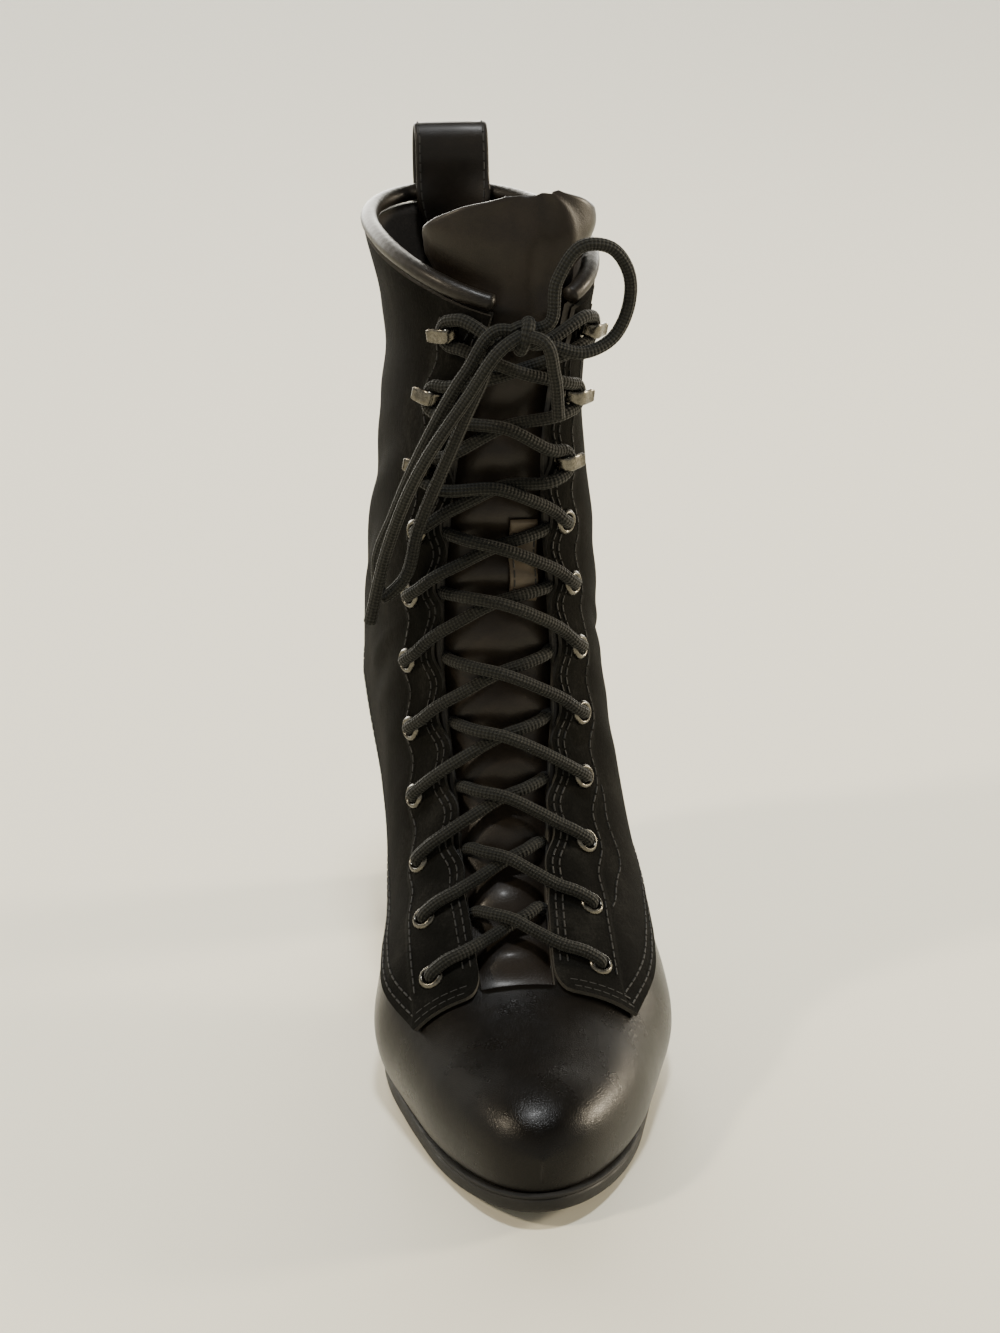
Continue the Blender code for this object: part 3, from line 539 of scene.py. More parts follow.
def angle_at(t, side, x):
    """The place a on a section where it lies x away from its ridge."""
    half = np.where(np.asarray(side) < 0, section("inner", t), section("outer", t))
    share = np.clip(np.asarray(x, float) / half, 0.0, 0.999)
    return np.arcsin(share ** (1 / section("top_k", t))) / math.pi


def border_at(t, side, rise=0.0):
    """The places a where sections meet the quarters' lower edge, or lie a rise above it, and 1 past it."""
    t = np.asarray(t, float)
    low = np.zeros_like(t)
    high = np.ones_like(t)
    for _ in range(30):
        middle = (low + high) / 2
        point = upper_point(t, middle, side)
        above = point[..., 2] > column(BORDER, "height", point[..., 1]) + rise
        low = np.where(above, middle, low)
        high = np.where(above, high, middle)
    return (low + high) / 2


def back_place(t, x):
    """The place a near the back of a section where it lies x away from the middle."""
    half = np.where(np.asarray(x) < 0, section("inner", t), section("outer", t))
    share = np.clip(np.abs(x) / half, 0.0, 1.0) ** (1 / section("low_k", t))
    return 0.5 + np.arccos(share) / math.pi


def lace_half(t, side):
    """How far the lacing lies from the throat's middle: hooks sit closer in than eyelets."""
    hook = HOOK_HALF_INNER if side < 0 else HOOK_HALF_OUTER
    return np.interp(t, LACING_NARROWS, [EYELET_HALF, hook])


def distance_along(line):
    """How far each point of a line lies from its start, along the line."""
    return np.concatenate([[0.0], np.cumsum(np.linalg.norm(np.diff(line, axis=0), axis=1))])


def lacing_stops():
    """The sections of the lacing rows, evenly spaced along the facing."""
    fine = np.linspace(LACE_FIRST, LACE_LAST, 200)
    line = upper_point(fine, angle_at(fine, -1, lace_half(fine, -1)), -1)
    run = distance_along(line)
    return np.interp(np.linspace(0, run[-1], ROWS), run, fine)


LACING = lacing_stops()


def row_phase(t):
    """Counts lacing rows along the sections: a whole number at each row."""
    before = LACING[0] - (LACING[1] - LACING[0])
    after = LACING[-1] + (LACING[-1] - LACING[-2])
    return np.interp(t, np.concatenate([[before], LACING, [after]]), np.arange(-1, ROWS + 1))


def facing_axes(t, side, lift):
    """A place on the facing with its outward, sideways and upward directions."""
    place = angle_at(t, side, lace_half(t, side))
    spot = lifted(t, place, side, lift)
    normal = outward(t, place, side)
    up = upper_point(t + 0.05, place, side) - upper_point(t - 0.05, place, side)
    up = up - normal * np.dot(up, normal)
    up = up / np.linalg.norm(up)
    away = np.cross(up, normal)
    away = away * (1 if away[0] * side > 0 else -1)
    return spot, normal, away, up


# Mesh helpers

def frame_shift():
    """Where the tables' zero lies in the frame, read from the heel's walking layer."""
    low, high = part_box("heel_top_piece")
    return np.array([(low[0] + high[0]) / 2 / MM, low[1] / MM - BREAST_FOOT, 0.0])


SHIFT = frame_shift()


def to_frame(points):
    """Table millimetres to the frame's metres."""
    return (np.asarray(points, float) + SHIFT) * MM


def rim(grid):
    """The closed rim around a grid of points or point numbers."""
    return np.concatenate([grid[0], grid[1:-1, -1], grid[-1][::-1], grid[1:-1, 0][::-1]])


class Builder:
    """Collects points, faces and face materials of one mesh, in table millimetres."""

    def __init__(self):
        self.points = []
        self.faces = []
        self.slots = []

    def add(self, points):
        """Adds points and returns their numbers in the same layout."""
        points = np.asarray(points, float)
        flat = points.reshape(-1, 3)
        start = len(self.points)
        self.points.extend(map(tuple, flat))
        return np.arange(start, start + len(flat)).reshape(points.shape[:-1])

    def face(self, numbers, slot=0):
        """Adds a face, dropping repeated corners."""
        ring = [int(n) for i, n in enumerate(numbers) if n != numbers[i - 1]]
        if len(set(ring)) > 2:
            self.faces.append(ring)
            self.slots.append(slot)

    def grid(self, numbers, slot=0, wrap=False):
        """Faces over a grid of point numbers, closed across its columns if wrap is set."""
        rows, columns = numbers.shape
        for i in range(rows - 1):
            for j in range(columns if wrap else columns - 1):
                k = (j + 1) % columns
                self.face((numbers[i, j], numbers[i, k], numbers[i + 1, k], numbers[i + 1, j]), slot)

    def slab(self, outer, inner, slots=(0, 0, 0)):
        """A closed plate between two grids: outer face, inner face and rim."""
        top = self.add(outer)
        low = self.add(inner)
        self.grid(top, slots[0])
        self.grid(low, slots[1])
        self.grid(np.stack([rim(top), rim(low)]), slots[2], wrap=True)

    def fan(self, ring, tip, slot=0):
        """Closes a ring of point numbers with faces that meet in a new point."""
        middle = self.add([tip])[0]
        for number, following in zip(ring, np.roll(ring, -1)):
            self.face((number, following, middle), slot)

    def finish(self, name, materials, sharp=40.0, weld=0.0):
        """Makes the object, with its faces turned out."""
        mesh = bpy.data.meshes.new(name)
        mesh.from_pydata([tuple(p) for p in to_frame(self.points)], [], self.faces)
        for polygon, slot in zip(mesh.polygons, self.slots):
            polygon.material_index = slot
        work = bmesh.new()
        work.from_mesh(mesh)
        if weld:
            bmesh.ops.remove_doubles(work, verts=work.verts, dist=weld * MM)
        bmesh.ops.recalc_face_normals(work, faces=work.faces)
        work.to_mesh(mesh)
        work.free()
        mesh.polygons.foreach_set("use_smooth", [True] * len(mesh.polygons))
        mesh.set_sharp_from_angle(angle=math.radians(sharp))
        for material in materials:
            mesh.materials.append(material)
        item = bpy.data.objects.new(name, mesh)
        bpy.context.scene.collection.objects.link(item)
        return item


def curve_points(stops, step):
    """Points along a smooth curve through stops, evenly spaced."""
    stops = np.asarray(stops, float)
    gaps = np.linalg.norm(np.diff(stops, axis=0), axis=1)
    knots = np.concatenate([[0.0], np.cumsum(gaps)])
    fine = np.linspace(0, knots[-1], 40 * len(stops))
    line = np.stack([through(knots, stops[:, k], fine) for k in range(3)], axis=-1)
    run = distance_along(line)
    even = np.linspace(0, run[-1], max(4, int(round(run[-1] / step)) + 1))
    return np.stack([np.interp(even, run, line[:, k]) for k in range(3)], axis=-1)


def tube_rings(points, radius, sides):
    """Rings of points around a line, turned as little as possible along it."""
    points = np.asarray(points, float)
    radius = np.broadcast_to(np.asarray(radius, float), (len(points),))
    tangents = np.gradient(points, axis=0)
    tangents /= np.linalg.norm(tangents, axis=1, keepdims=True)
    side = np.cross(tangents[0], (0.3, 0.2, 1.0))
    turns = np.linspace(0, 2 * math.pi, sides, endpoint=False)
    rings = []
    for place, tangent, size in zip(points, tangents, radius):
        side = side - tangent * np.dot(side, tangent)
        side = side / np.linalg.norm(side)
        other = np.cross(tangent, side)
        rings.append(place + size * (np.cos(turns)[:, None] * side + np.sin(turns)[:, None] * other))
    return np.array(rings)


def add_tube(builder, points, radius, sides):
    """A closed round bar with softly rounded ends along points."""
    points = np.asarray(points, float)
    rings = builder.add(tube_rings(points, radius, sides))
    builder.grid(rings, wrap=True)
    size = float(np.broadcast_to(radius, (len(points),))[0])
    for end, before in ((0, 1), (-1, -2)):
        way = points[end] - points[before]
        builder.fan(rings[end], points[end] + way / np.linalg.norm(way) * size * TIP_SHARE)


def cord_tube(name, points):
    """A lace as a mesh tube whose UV runs along it in centimetres and once around it."""
    builder = Builder()
    add_tube(builder, points, LACE_RADIUS, CORD_SIDES)
    item = builder.finish(name, [LACE], sharp=60.0)
    mesh = item.data
    run = distance_along(points)
    layer = mesh.uv_layers.new(name="cord")
    count = len(points)
    for polygon in mesh.polygons:
        turns = []
        for loop in polygon.loop_indices:
            vertex = mesh.loops[loop].vertex_index
            ring = min(vertex // CORD_SIDES, count - 1)
            on_tip = vertex >= count * CORD_SIDES
            turns.append((loop, ring, None if on_tip else (vertex % CORD_SIDES) / CORD_SIDES))
        known = [v for _, _, v in turns if v is not None]
        split = max(known) - min(known) > 0.5
        for loop, ring, v in turns:
            v = sum(known) / len(known) if v is None else v
            layer.data[loop].uv = (run[ring] * 0.1, v + 1.0 if split and v < 0.5 else v)
    item["length"] = float(run[-1] * MM)
    return item


def place_piece(item, nodes=()):
    """Ties a piece to the boot's one body and hides the nodes it stands for."""
    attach(item, "root")
    if nodes:
        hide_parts(*nodes)
    return item


# Materials

def new_material(name):
    """A node material with its shader."""
    material = bpy.data.materials.new(name)
    material.use_nodes = True
    return material, material.node_tree, material.node_tree.nodes["Principled BSDF"]


def add_node(tree, kind, values=None, **settings):
    """Adds a node, setting its properties and its inputs by name."""
    node = tree.nodes.new(kind)
    for key, value in settings.items():
        setattr(node, key, value)
    for key, value in (values or {}).items():
        node.inputs[key].default_value = value
    return node


def noise(tree, scale, detail=3.0, rough=0.55, stretch=None):
    """A noise over the object's own metres."""
    place = add_node(tree, "ShaderNodeTexCoord")
    source = place.outputs["Object"]
    if stretch:
        mapping = add_node(tree, "ShaderNodeMapping", {"Scale": stretch})
        tree.links.new(source, mapping.inputs["Vector"])
        source = mapping.outputs["Vector"]
    texture = add_node(tree, "ShaderNodeTexNoise", {"Scale": scale, "Detail": detail, "Roughness": rough})
    tree.links.new(source, texture.inputs["Vector"])
    return texture.outputs["Fac"]


def cells(tree, scale):
    """Distance to the edges of small cells over the object's own metres."""
    place = add_node(tree, "ShaderNodeTexCoord")
    texture = add_node(tree, "ShaderNodeTexVoronoi", {"Scale": scale}, feature="DISTANCE_TO_EDGE")
    tree.links.new(place.outputs["Object"], texture.inputs["Vector"])
    return texture.outputs["Distance"]


def ramp(tree, source, stops):
    """Colours along a 0 to 1 value."""
    node = add_node(tree, "ShaderNodeValToRGB")
    elements = node.color_ramp.elements
    while len(elements) < len(stops):
        elements.new(0.5)
    for element, (place, colour) in zip(elements, stops):
        element.position = place
        element.color = (*colour, 1.0)
    tree.links.new(source, node.inputs["Fac"])
    return node.outputs["Color"]


def spread(tree, source, low, high, from_low=0.3, from_high=0.7):
    """Maps a value from one span to another."""
    node = add_node(tree, "ShaderNodeMapRange",
                    {"From Min": from_low, "From Max": from_high, "To Min": low, "To Max": high})
    tree.links.new(source, node.inputs["Value"])
    return node.outputs["Result"]


def math_node(tree, operation, first, second):
    """One sum of two values, either of them a number."""
    node = add_node(tree, "ShaderNodeMath", operation=operation)
    for socket, value in zip(node.inputs, (first, second)):
        if isinstance(value, (int, float)):
            socket.default_value = value
        else:
            tree.links.new(value, socket)
    return node.outputs["Value"]


def mixed(tree, first, share, second):
    """Two values added, the first by its share and the second by the rest."""
    part = math_node(tree, "MULTIPLY", first, share)
    rest = math_node(tree, "MULTIPLY", second, 1.0 - share)
    return math_node(tree, "ADD", part, rest)


def add_bumps(tree, shader, layers):
    """Chains bumps of (height, strength, metres) onto a shader."""
    normal = None
    for height, strength, distance in layers:
        bump = add_node(tree, "ShaderNodeBump", {"Strength": strength, "Distance": distance})
        tree.links.new(height, bump.inputs["Height"])
        if normal:
            tree.links.new(normal, bump.inputs["Normal"])
        normal = bump.outputs["Normal"]
    tree.links.new(normal, shader.inputs["Normal"])


def leather(name, dark, light, rough, coat, grain):
    """Smooth finished leather: soft tone changes, fine grain and a waxed top."""
    material, tree, shader = new_material(name)
    tone = noise(tree, 38.0, 5.0, 0.62)
    tree.links.new(ramp(tree, tone, [(0.32, dark), (0.72, light)]), shader.inputs["Base Color"])
    wear = noise(tree, 70.0, 6.0, 0.6)
    tree.links.new(spread(tree, wear, *rough), shader.inputs["Roughness"])
    shader.inputs["Coat Weight"].default_value = coat
    shader.inputs["Coat Roughness"].default_value = 0.25
    shader.inputs["Specular IOR Level"].default_value = 0.16
    pores = spread(tree, cells(tree, 1500.0), 0.0, 1.0, 0.0, 0.16)
    add_bumps(tree, shader, [
        (noise(tree, 60.0, 3.0), 0.10 * grain, 0.0020),
        (pores, 0.22 * grain, 0.00012),
        (noise(tree, 3000.0, 3.0), 0.12 * grain, 0.00012),
    ])
    return material


def suede_material():
    """Matte napped hide: brushed light and dark areas with a fibrous surface."""
    material, tree, shader = new_material("suede")
    brushed = noise(tree, 55.0, 6.0, 0.68, (1.0, 1.0, 0.55))
    fibres = noise(tree, 1500.0, 4.0, 0.75, (1.0, 1.0, 0.45))
    colours = [
        (0.36, (0.0026, 0.0026, 0.0022)),
        (0.52, (0.0060, 0.0059, 0.0052)),
        (0.66, (0.0150, 0.0146, 0.0130)),
    ]
    tone = ramp(tree, mixed(tree, brushed, 0.65, fibres), colours)
    tree.links.new(tone, shader.inputs["Base Color"])
    tree.links.new(spread(tree, brushed, 0.86, 1.0), shader.inputs["Roughness"])
    shader.inputs["Specular IOR Level"].default_value = 0.03
    shader.inputs["Sheen Weight"].default_value = 0.015
    shader.inputs["Sheen Roughness"].default_value = 0.45
    shader.inputs["Sheen Tint"].default_value = (0.55, 0.53, 0.46, 1.0)
    add_bumps(tree, shader, [(brushed, 0.25, 0.0012), (fibres, 0.6, 0.0004)])
    return material


def metal_material():
    """Dark polished metal with fine handling marks."""
    material, tree, shader = new_material("metal")
    marks = noise(tree, 900.0, 6.0, 0.7)
    colours = [(0.3, (0.060, 0.056, 0.047)), (0.7, (0.150, 0.142, 0.122))]
    tree.links.new(ramp(tree, marks, colours), shader.inputs["Base Color"])
    tree.links.new(spread(tree, marks, 0.16, 0.36), shader.inputs["Roughness"])
    shader.inputs["Metallic"].default_value = 1.0
    add_bumps(tree, shader, [(marks, 0.08, 0.0002)])
    return material


def lace_material():
    """Braided round cord: two sets of slanting strands that pass over each other, with painted shade in the
    grooves between them.
    """
    material, tree, shader = new_material("lace")
    place = add_node(tree, "ShaderNodeUVMap", uv_map="cord")
    parts = add_node(tree, "ShaderNodeSeparateXYZ")
    tree.links.new(place.outputs["UV"], parts.inputs["Vector"])
    along = math_node(tree, "MULTIPLY", parts.outputs["X"], 2 * math.pi * BRAID_PER_CM)
    around = math_node(tree, "MULTIPLY", parts.outputs["Y"], 2 * math.pi * BRAID_AROUND)
    left = math_node(tree, "SINE", math_node(tree, "ADD", along, around), 0.0)
    right = math_node(tree, "SINE", math_node(tree, "SUBTRACT", along, around), 0.0)
    braid_and_groove_shade = spread(tree, math_node(tree, "MULTIPLY", left, right), 0.0, 1.0, -1.0, 1.0)
    fuzz = noise(tree, 2400.0, 4.0, 0.7)
    worn = noise(tree, 60.0, 4.0)
    colours = [
        (0.22, (0.0028, 0.0030, 0.0024)),
        (0.55, (0.0084, 0.0087, 0.0070)),
        (0.80, (0.0185, 0.0188, 0.0154)),
    ]
    # Strand crowns lighter and the grooves between strands darker: painted shade in the cord's grooves, mixed
    # with a random tone
    tone = ramp(tree, mixed(tree, braid_and_groove_shade, 0.55, worn), colours)
    tree.links.new(tone, shader.inputs["Base Color"])
    tree.links.new(spread(tree, fuzz, 0.62, 0.9), shader.inputs["Roughness"])
    shader.inputs["Specular IOR Level"].default_value = 0.2
    shader.inputs["Sheen Weight"].default_value = 0.03
    shader.inputs["Sheen Roughness"].default_value = 0.5
    add_bumps(tree, shader, [(braid_and_groove_shade, 0.85, 0.0006), (fuzz, 0.3, 0.0002)])
    return material


def sole_material():
    """Matte black sole: fine texture and a few pale scuffs."""
    material, tree, shader = new_material("sole")
    scuffs = noise(tree, 95.0, 7.0, 0.72, (1.0, 1.0, 3.0))
    colours = [
        (0.30, (0.0050, 0.0049, 0.0045)),
        (0.62, (0.0105, 0.0102, 0.0094)),
        (0.80, (0.0340, 0.0320, 0.0280)),
    ]
    tree.links.new(ramp(tree, scuffs, colours), shader.inputs["Base Color"])
    tree.links.new(spread(tree, scuffs, 0.5, 0.8), shader.inputs["Roughness"])
    shader.inputs["Specular IOR Level"].default_value = 0.3
    add_bumps(tree, shader, [(scuffs, 0.2, 0.0006), (noise(tree, 1400.0, 3.0), 0.25, 0.00025)])
    return material


def fibre_material(name, dark, light, rough):
    """Raw leather edge, thread, lining, or the near-black painted shade inside the eyelets: fibrous and
    matte.
    """
    material, tree, shader = new_material(name)
    strands = noise(tree, 900.0, 5.0, 0.7)
    tree.links.new(ramp(tree, strands, [(0.3, dark), (0.7, light)]), shader.inputs["Base Color"])
    tree.links.new(spread(tree, strands, rough - 0.12, rough), shader.inputs["Roughness"])
    add_bumps(tree, shader, [(strands, 0.4, 0.0004)])
    return material


LEATHER = leather(
    "leather", dark=(0.0026, 0.0023, 0.0019), light=(0.0062, 0.0051, 0.0039),
    rough=(0.25, 0.34), coat=0.04, grain=1.0)
TONGUE_LEATHER = leather(
    "tongue_leather", dark=(0.0075, 0.0058, 0.0043), light=(0.019, 0.0145, 0.0105),
    rough=(0.32, 0.46), coat=0.12, grain=1.2)
STRAP_LEATHER = leather(
    "strap_leather", dark=(0.0060, 0.0050, 0.0040), light=(0.014, 0.0112, 0.0085),
    rough=(0.34, 0.48), coat=0.10, grain=1.2)
TAB_LEATHER = leather(
    "tab_leather", dark=(0.045, 0.0350, 0.0240), light=(0.095, 0.076, 0.0540),
    rough=(0.34, 0.48), coat=0.12, grain=1.2)
SUEDE = suede_material()
METAL = metal_material()
LACE = lace_material()
SOLE = sole_material()
EDGE = fibre_material("raw_edge", (0.014, 0.0130, 0.0105), (0.038, 0.0350, 0.0285), 0.95)
THREAD = fibre_material("thread", (0.0045, 0.0044, 0.0039), (0.013, 0.0127, 0.0110), 0.85)
LINING = fibre_material("lining", (0.0090, 0.0070, 0.0052), (0.021, 0.0165, 0.0122), 0.85)
# Near-black sheet that closes each eyelet's opening: painted shade, not a material of the boot
HOLE_SHADE = fibre_material("hole_shade", (0.0015, 0.0015, 0.0015), (0.003, 0.003, 0.003), 0.95)


# Sole, heel and insole

def outline_grid(stops, inset, height, columns):
    """A grid of points across the sole's outline at a height given along the foot."""
    stops = np.asarray(stops, float)
    middle = column(OUTLINE, "middle", stops)
    left = middle - half_outline(stops, -1, inset)
    right = middle + half_outline(stops, 1, inset)
    share = np.linspace(0, 1, columns)
    x = left[:, None] + (right - left)[:, None] * share
    y = np.broadcast_to(stops[:, None], x.shape)
    z = np.broadcast_to(np.asarray(height(stops))[:, None], x.shape)
    return np.stack([x, y, z], axis=-1)


def end_stops(inset, toe_count=26, heel_count=22, count=46):
    """Places along the sole, close together at both ends."""
    toe = inset + TOE_ROUND * (1 - np.cos(np.linspace(0.03, math.pi / 2, toe_count)))
    heel = LENGTH - inset - HEEL_ROUND * (1 - np.cos(np.linspace(math.pi / 2, 0.03, heel_count)))
    return np.concatenate([toe, np.linspace(toe[-1], heel[0], count + 2)[1:-1], heel])


def stack(builder, levels):
    """A closed body from levels of grids: the first and last are faced, the rims joined."""
    rims = []
    for number, level in enumerate(levels):
        if number in (0, len(levels) - 1):
            numbers = builder.add(level)
            builder.grid(numbers)
            rims.append(rim(numbers))
        else:
            rims.append(builder.add(rim(level)))
    builder.grid(np.stack(rims), wrap=True)


def sole_level(inset, share):
    """One level of the sole's edge, from underside (0) to upper face (1)."""
    def height(along):
        """The level's height along the foot."""
        return (1 - share) * underside(along) + share * sole_top(along)

    return outline_grid(end_stops(inset), inset, height, SOLE_COLUMNS)


def make_sole():
    """The sole: a rounded walking edge, a flat band and a fine groove under its upper lip."""
    builder = Builder()
    stack(builder, [sole_level(row.inset, row.share) for row in SOLE_EDGE])
    place_piece(builder.finish("sole", [SOLE], sharp=50.0), ["outsole"])


def make_insole():
    """The insole board with a softly rounded top edge."""
    builder = Builder()
    levels = []
    for inset, rise in ((0.0, 0.0), (0.0, 2.2), (0.3, 2.8), (1.2, INSOLE_THICK)):
        levels.append(outline_grid(end_stops(INSOLE_INSET + inset), INSOLE_INSET + inset,
                                   lambda along, up=rise: sole_top(along) + INSOLE_GAP + up, SOLE_COLUMNS))
    stack(builder, levels)
    place_piece(builder.finish("insole_board", [LINING], sharp=50.0), ["insole"])


def heel_grid(share, height, columns=9):
    """A grid across the heel block, from its seat (share 0) to its foot (share 1)."""
    steps = np.sin(np.linspace(0, 0.985 * math.pi / 2, 44))
    front = BREAST + (BREAST_FOOT - BREAST) * share
    back = LENGTH - HEEL_INSET + (HEEL_FOOT - LENGTH + HEEL_INSET) * share
    along = BREAST + (LENGTH - HEEL_INSET - BREAST) * steps
    seat = half_outline(along, 1, HEEL_INSET)
    foot = HEEL_FOOT_HALF * rounding(1 - steps, 0.62, HEEL_POWER)
    half = seat + (foot - seat) * share ** 0.75
    middle = column(OUTLINE, "middle", along) * (1 - share)
    x = middle[:, None] + half[:, None] * np.linspace(-1, 1, columns)
    y = np.broadcast_to((front + (back - front) * steps)[:, None], x.shape)
    z = np.broadcast_to(np.asarray(height(along))[:, None], x.shape)
    return np.stack([x, y, z], axis=-1)


def make_heel():
    """The covered heel block and its walking layer."""
    builder = Builder()
    foot = TOP_PIECE + GAP
    levels = []
    for share in np.linspace(0, 1, 15):
        levels.append(heel_grid(share, lambda along, k=share: (underside(along) - GAP) * (1 - k) + foot * k))
    stack(builder, levels)
    place_piece(builder.finish("heel_block", [LEATHER], sharp=50.0), ["heel"])
    builder = Builder()
    layers = []
    for rise in (0.0, 0.5, 5.5, TOP_PIECE):
        layers.append(heel_grid(1.0, lambda along, up=rise: np.full_like(along, up)))
    stack(builder, layers)
    place_piece(builder.finish("heel_foot_layer", [SOLE], sharp=50.0), ["heel_top_piece"])


# Upper and quarters

def arc_places(t, side, start, end, shares):
    """Places a along sections t at shares of the length between two ends."""
    fine = start[:, None] + (end - start)[:, None] * np.linspace(0, 1, 90)
    points = upper_point(t[:, None], fine, side)
    steps = np.linalg.norm(np.diff(points, axis=1), axis=2)
    run = np.concatenate([np.zeros((len(t), 1)), np.cumsum(steps, axis=1)], axis=1)
    shares = np.broadcast_to(shares, (len(t), np.shape(shares)[-1]))
    rows = [np.interp(share * length[-1], length, line) for share, length, line in zip(shares, run, fine)]
    return np.array(rows), run[:, -1]


def make_upper():
    """The leather body: vamp, counter and the wall behind the suede, lined on the inside."""
    toe = 2.2 * (1 - np.cos(np.linspace(0, math.pi / 2, 34)))
    t = np.concatenate([toe, np.linspace(2.22, THROAT, 8), np.linspace(THROAT, COLLAR, 118)[1:]])
    strip_count = 8
    builder = Builder()
    sides = {}
    for side in (-1, 1):
        edge = angle_at(t, side, section("gap", t))
        strip = edge[:, None] * np.linspace(0, 1, strip_count + 1)
        body, _ = arc_places(t, side, edge, np.ones_like(t), np.linspace(0, 1, 47))
        places = np.concatenate([strip, body[:, 1:]], axis=1)
        sides[side] = builder.add(upper_point(t[:, None], places, side))
    throat_row = int(np.searchsorted(t, THROAT))
    for numbers in sides.values():
        builder.grid(numbers[:throat_row + 1])
        builder.grid(numbers[throat_row:, strip_count:])
    item = builder.finish("boot_body", [LEATHER, LINING, EDGE], sharp=60.0, weld=0.02)
    soften_heel(item)
    wall = item.modifiers.new("wall", "SOLIDIFY")
    wall.thickness = WALL * MM
    wall.offset = -1.0
    wall.use_even_offset = True
    wall.material_offset = 1
    wall.material_offset_rim = 2
    place_piece(item, ["upper"])


def soften_heel(item):
    """Smooths the turn from the seat to the back of the heel and fills what that takes away."""
    work = bmesh.new()
    work.from_mesh(item.data)
    loose = {v.index for e in work.edges if e.is_boundary for v in e.verts}
    work.free()
    group = item.vertex_groups.new(name="heel")
    for vertex in item.data.vertices:
        if vertex.index in loose:
            continue
        place = np.array(vertex.co) / MM - SHIFT
        weight = smooth(place[1], *HEEL_ALONG) * (1 - smooth(place[2], *HEEL_UP))
        if weight > 0.01:
            group.add([vertex.index], float(weight), "REPLACE")
    soft = item.modifiers.new("soft_heel", "SMOOTH")
    soft.vertex_group = "heel"
    soft.factor = HEEL_SOFT
    soft.iterations = HEEL_ROUNDS
    full = item.modifiers.new("full_heel", "DISPLACE")
    full.vertex_group = "heel"
    full.mid_level = 0.0
    full.strength = HEEL_FILL * MM


def facing_gap(t):
    """Half the throat between the suede facings: waved by the laces and rounded at the foot."""
    waved = smooth(t, *SCALLOP_STARTS) * (1 - smooth(t, *SCALLOP_ENDS))
    wave = SCALLOP * np.cos(2 * math.pi * row_phase(t)) * waved
    corner = 1 - np.clip((t - QUARTER_FRONT) / CORNER_RUN, 0.0, 1.0)
    return section("gap", t) + wave + CORNER_ROUND * (1 - np.sqrt(1 - corner ** 2))


def crease_depth(t, share, side):
    """How far the suede is pressed in by its creases, each a trough between two low ridges."""
    depth = np.zeros(np.broadcast(t, share).shape)
    for row in CREASES:
        if row.side != side:
            continue
        middle = (row.start + row.end) / 2
        centre = row.at + row.slope * (share - middle)
        window = smooth(share, row.start, middle) * (1 - smooth(share, middle, row.end))
        off = (t - centre) / row.width
        ridges = RIDGE_SHARE * np.exp(-(np.abs(off) - RIDGE_OFF) ** 2 / RIDGE_SPREAD)
        depth += row.depth * window * (np.exp(-off ** 2) - ridges)
    return depth


def quarter_lift(t, share, length, side):
    """Height of the suede over the upper: a raised eyestay along the throat, and soft creases."""
    across = share * length
    stay = lace_half(t, side) - section("gap", t) + EYESTAY_WIDE
    raised = EYESTAY_RISE * (1 - smooth(across, stay - 0.7, stay + 0.7))
    calm = smooth(across, stay * 0.6, stay * 1.3)
    return QUARTER_TOP + raised - crease_depth(t, share, side) * calm


def quarter_ends(t, side):
    """Places a of a quarter's throat edge and its lower or back edge."""
    start = angle_at(t, side, facing_gap(t))
    end = np.minimum(border_at(t, side), back_place(t, side * BACK_SEAM))
    return start, end


def make_quarter(word, side):
    """A suede quarter: outer nap, pale cut edges, and its stitching as a piece of its own."""
    front = np.linspace(QUARTER_FRONT, 3.4, 16)
    t = np.concatenate([front, np.linspace(3.4, COLLAR, 190)[1:]])
    start, end = quarter_ends(t, side)
    shares = np.linspace(0, 1, 84)
    places, length = arc_places(t, side, start, end, shares)
    lift = quarter_lift(t[:, None], shares[None, :], length[:, None], side)
    outer = lifted(t[:, None], places, side, lift)
    inner = lifted(t[:, None], places, side, lift - QUARTER_THICK)
    builder = Builder()
    builder.slab(outer, inner, (0, 1, 1))
    place_piece(builder.finish(f"suede_{word}", [SUEDE, EDGE], sharp=50.0), [f"quarter_{word}"])
    make_quarter_stitches(word, side)


def along_quarter(t, side, offset):
    """Points on a quarter's face at an offset in millimetres from its throat edge."""
    start, end = quarter_ends(t, side)
    _, length = arc_places(t, side, start, end, np.array([0.0, 1.0]))
    share = offset / length
    places, _ = arc_places(t, side, start, end, share[:, None])
    lift = quarter_lift(t, share, length, side)
    return lifted(t, places[:, 0], side, lift + STITCH_LIFT)


def add_stitches(builder, line):
    """Short rounded stitches along a line of points."""
    run = distance_along(line)
    for begin in np.arange(1.0, run[-1] - STITCH_LONG, STITCH_STEP):
        places = np.linspace(begin, begin + STITCH_LONG, 4)
        points = np.stack([np.interp(places, run, line[:, k]) for k in range(3)], axis=-1)
        add_tube(builder, points, STITCH_RADIUS, sides=6)


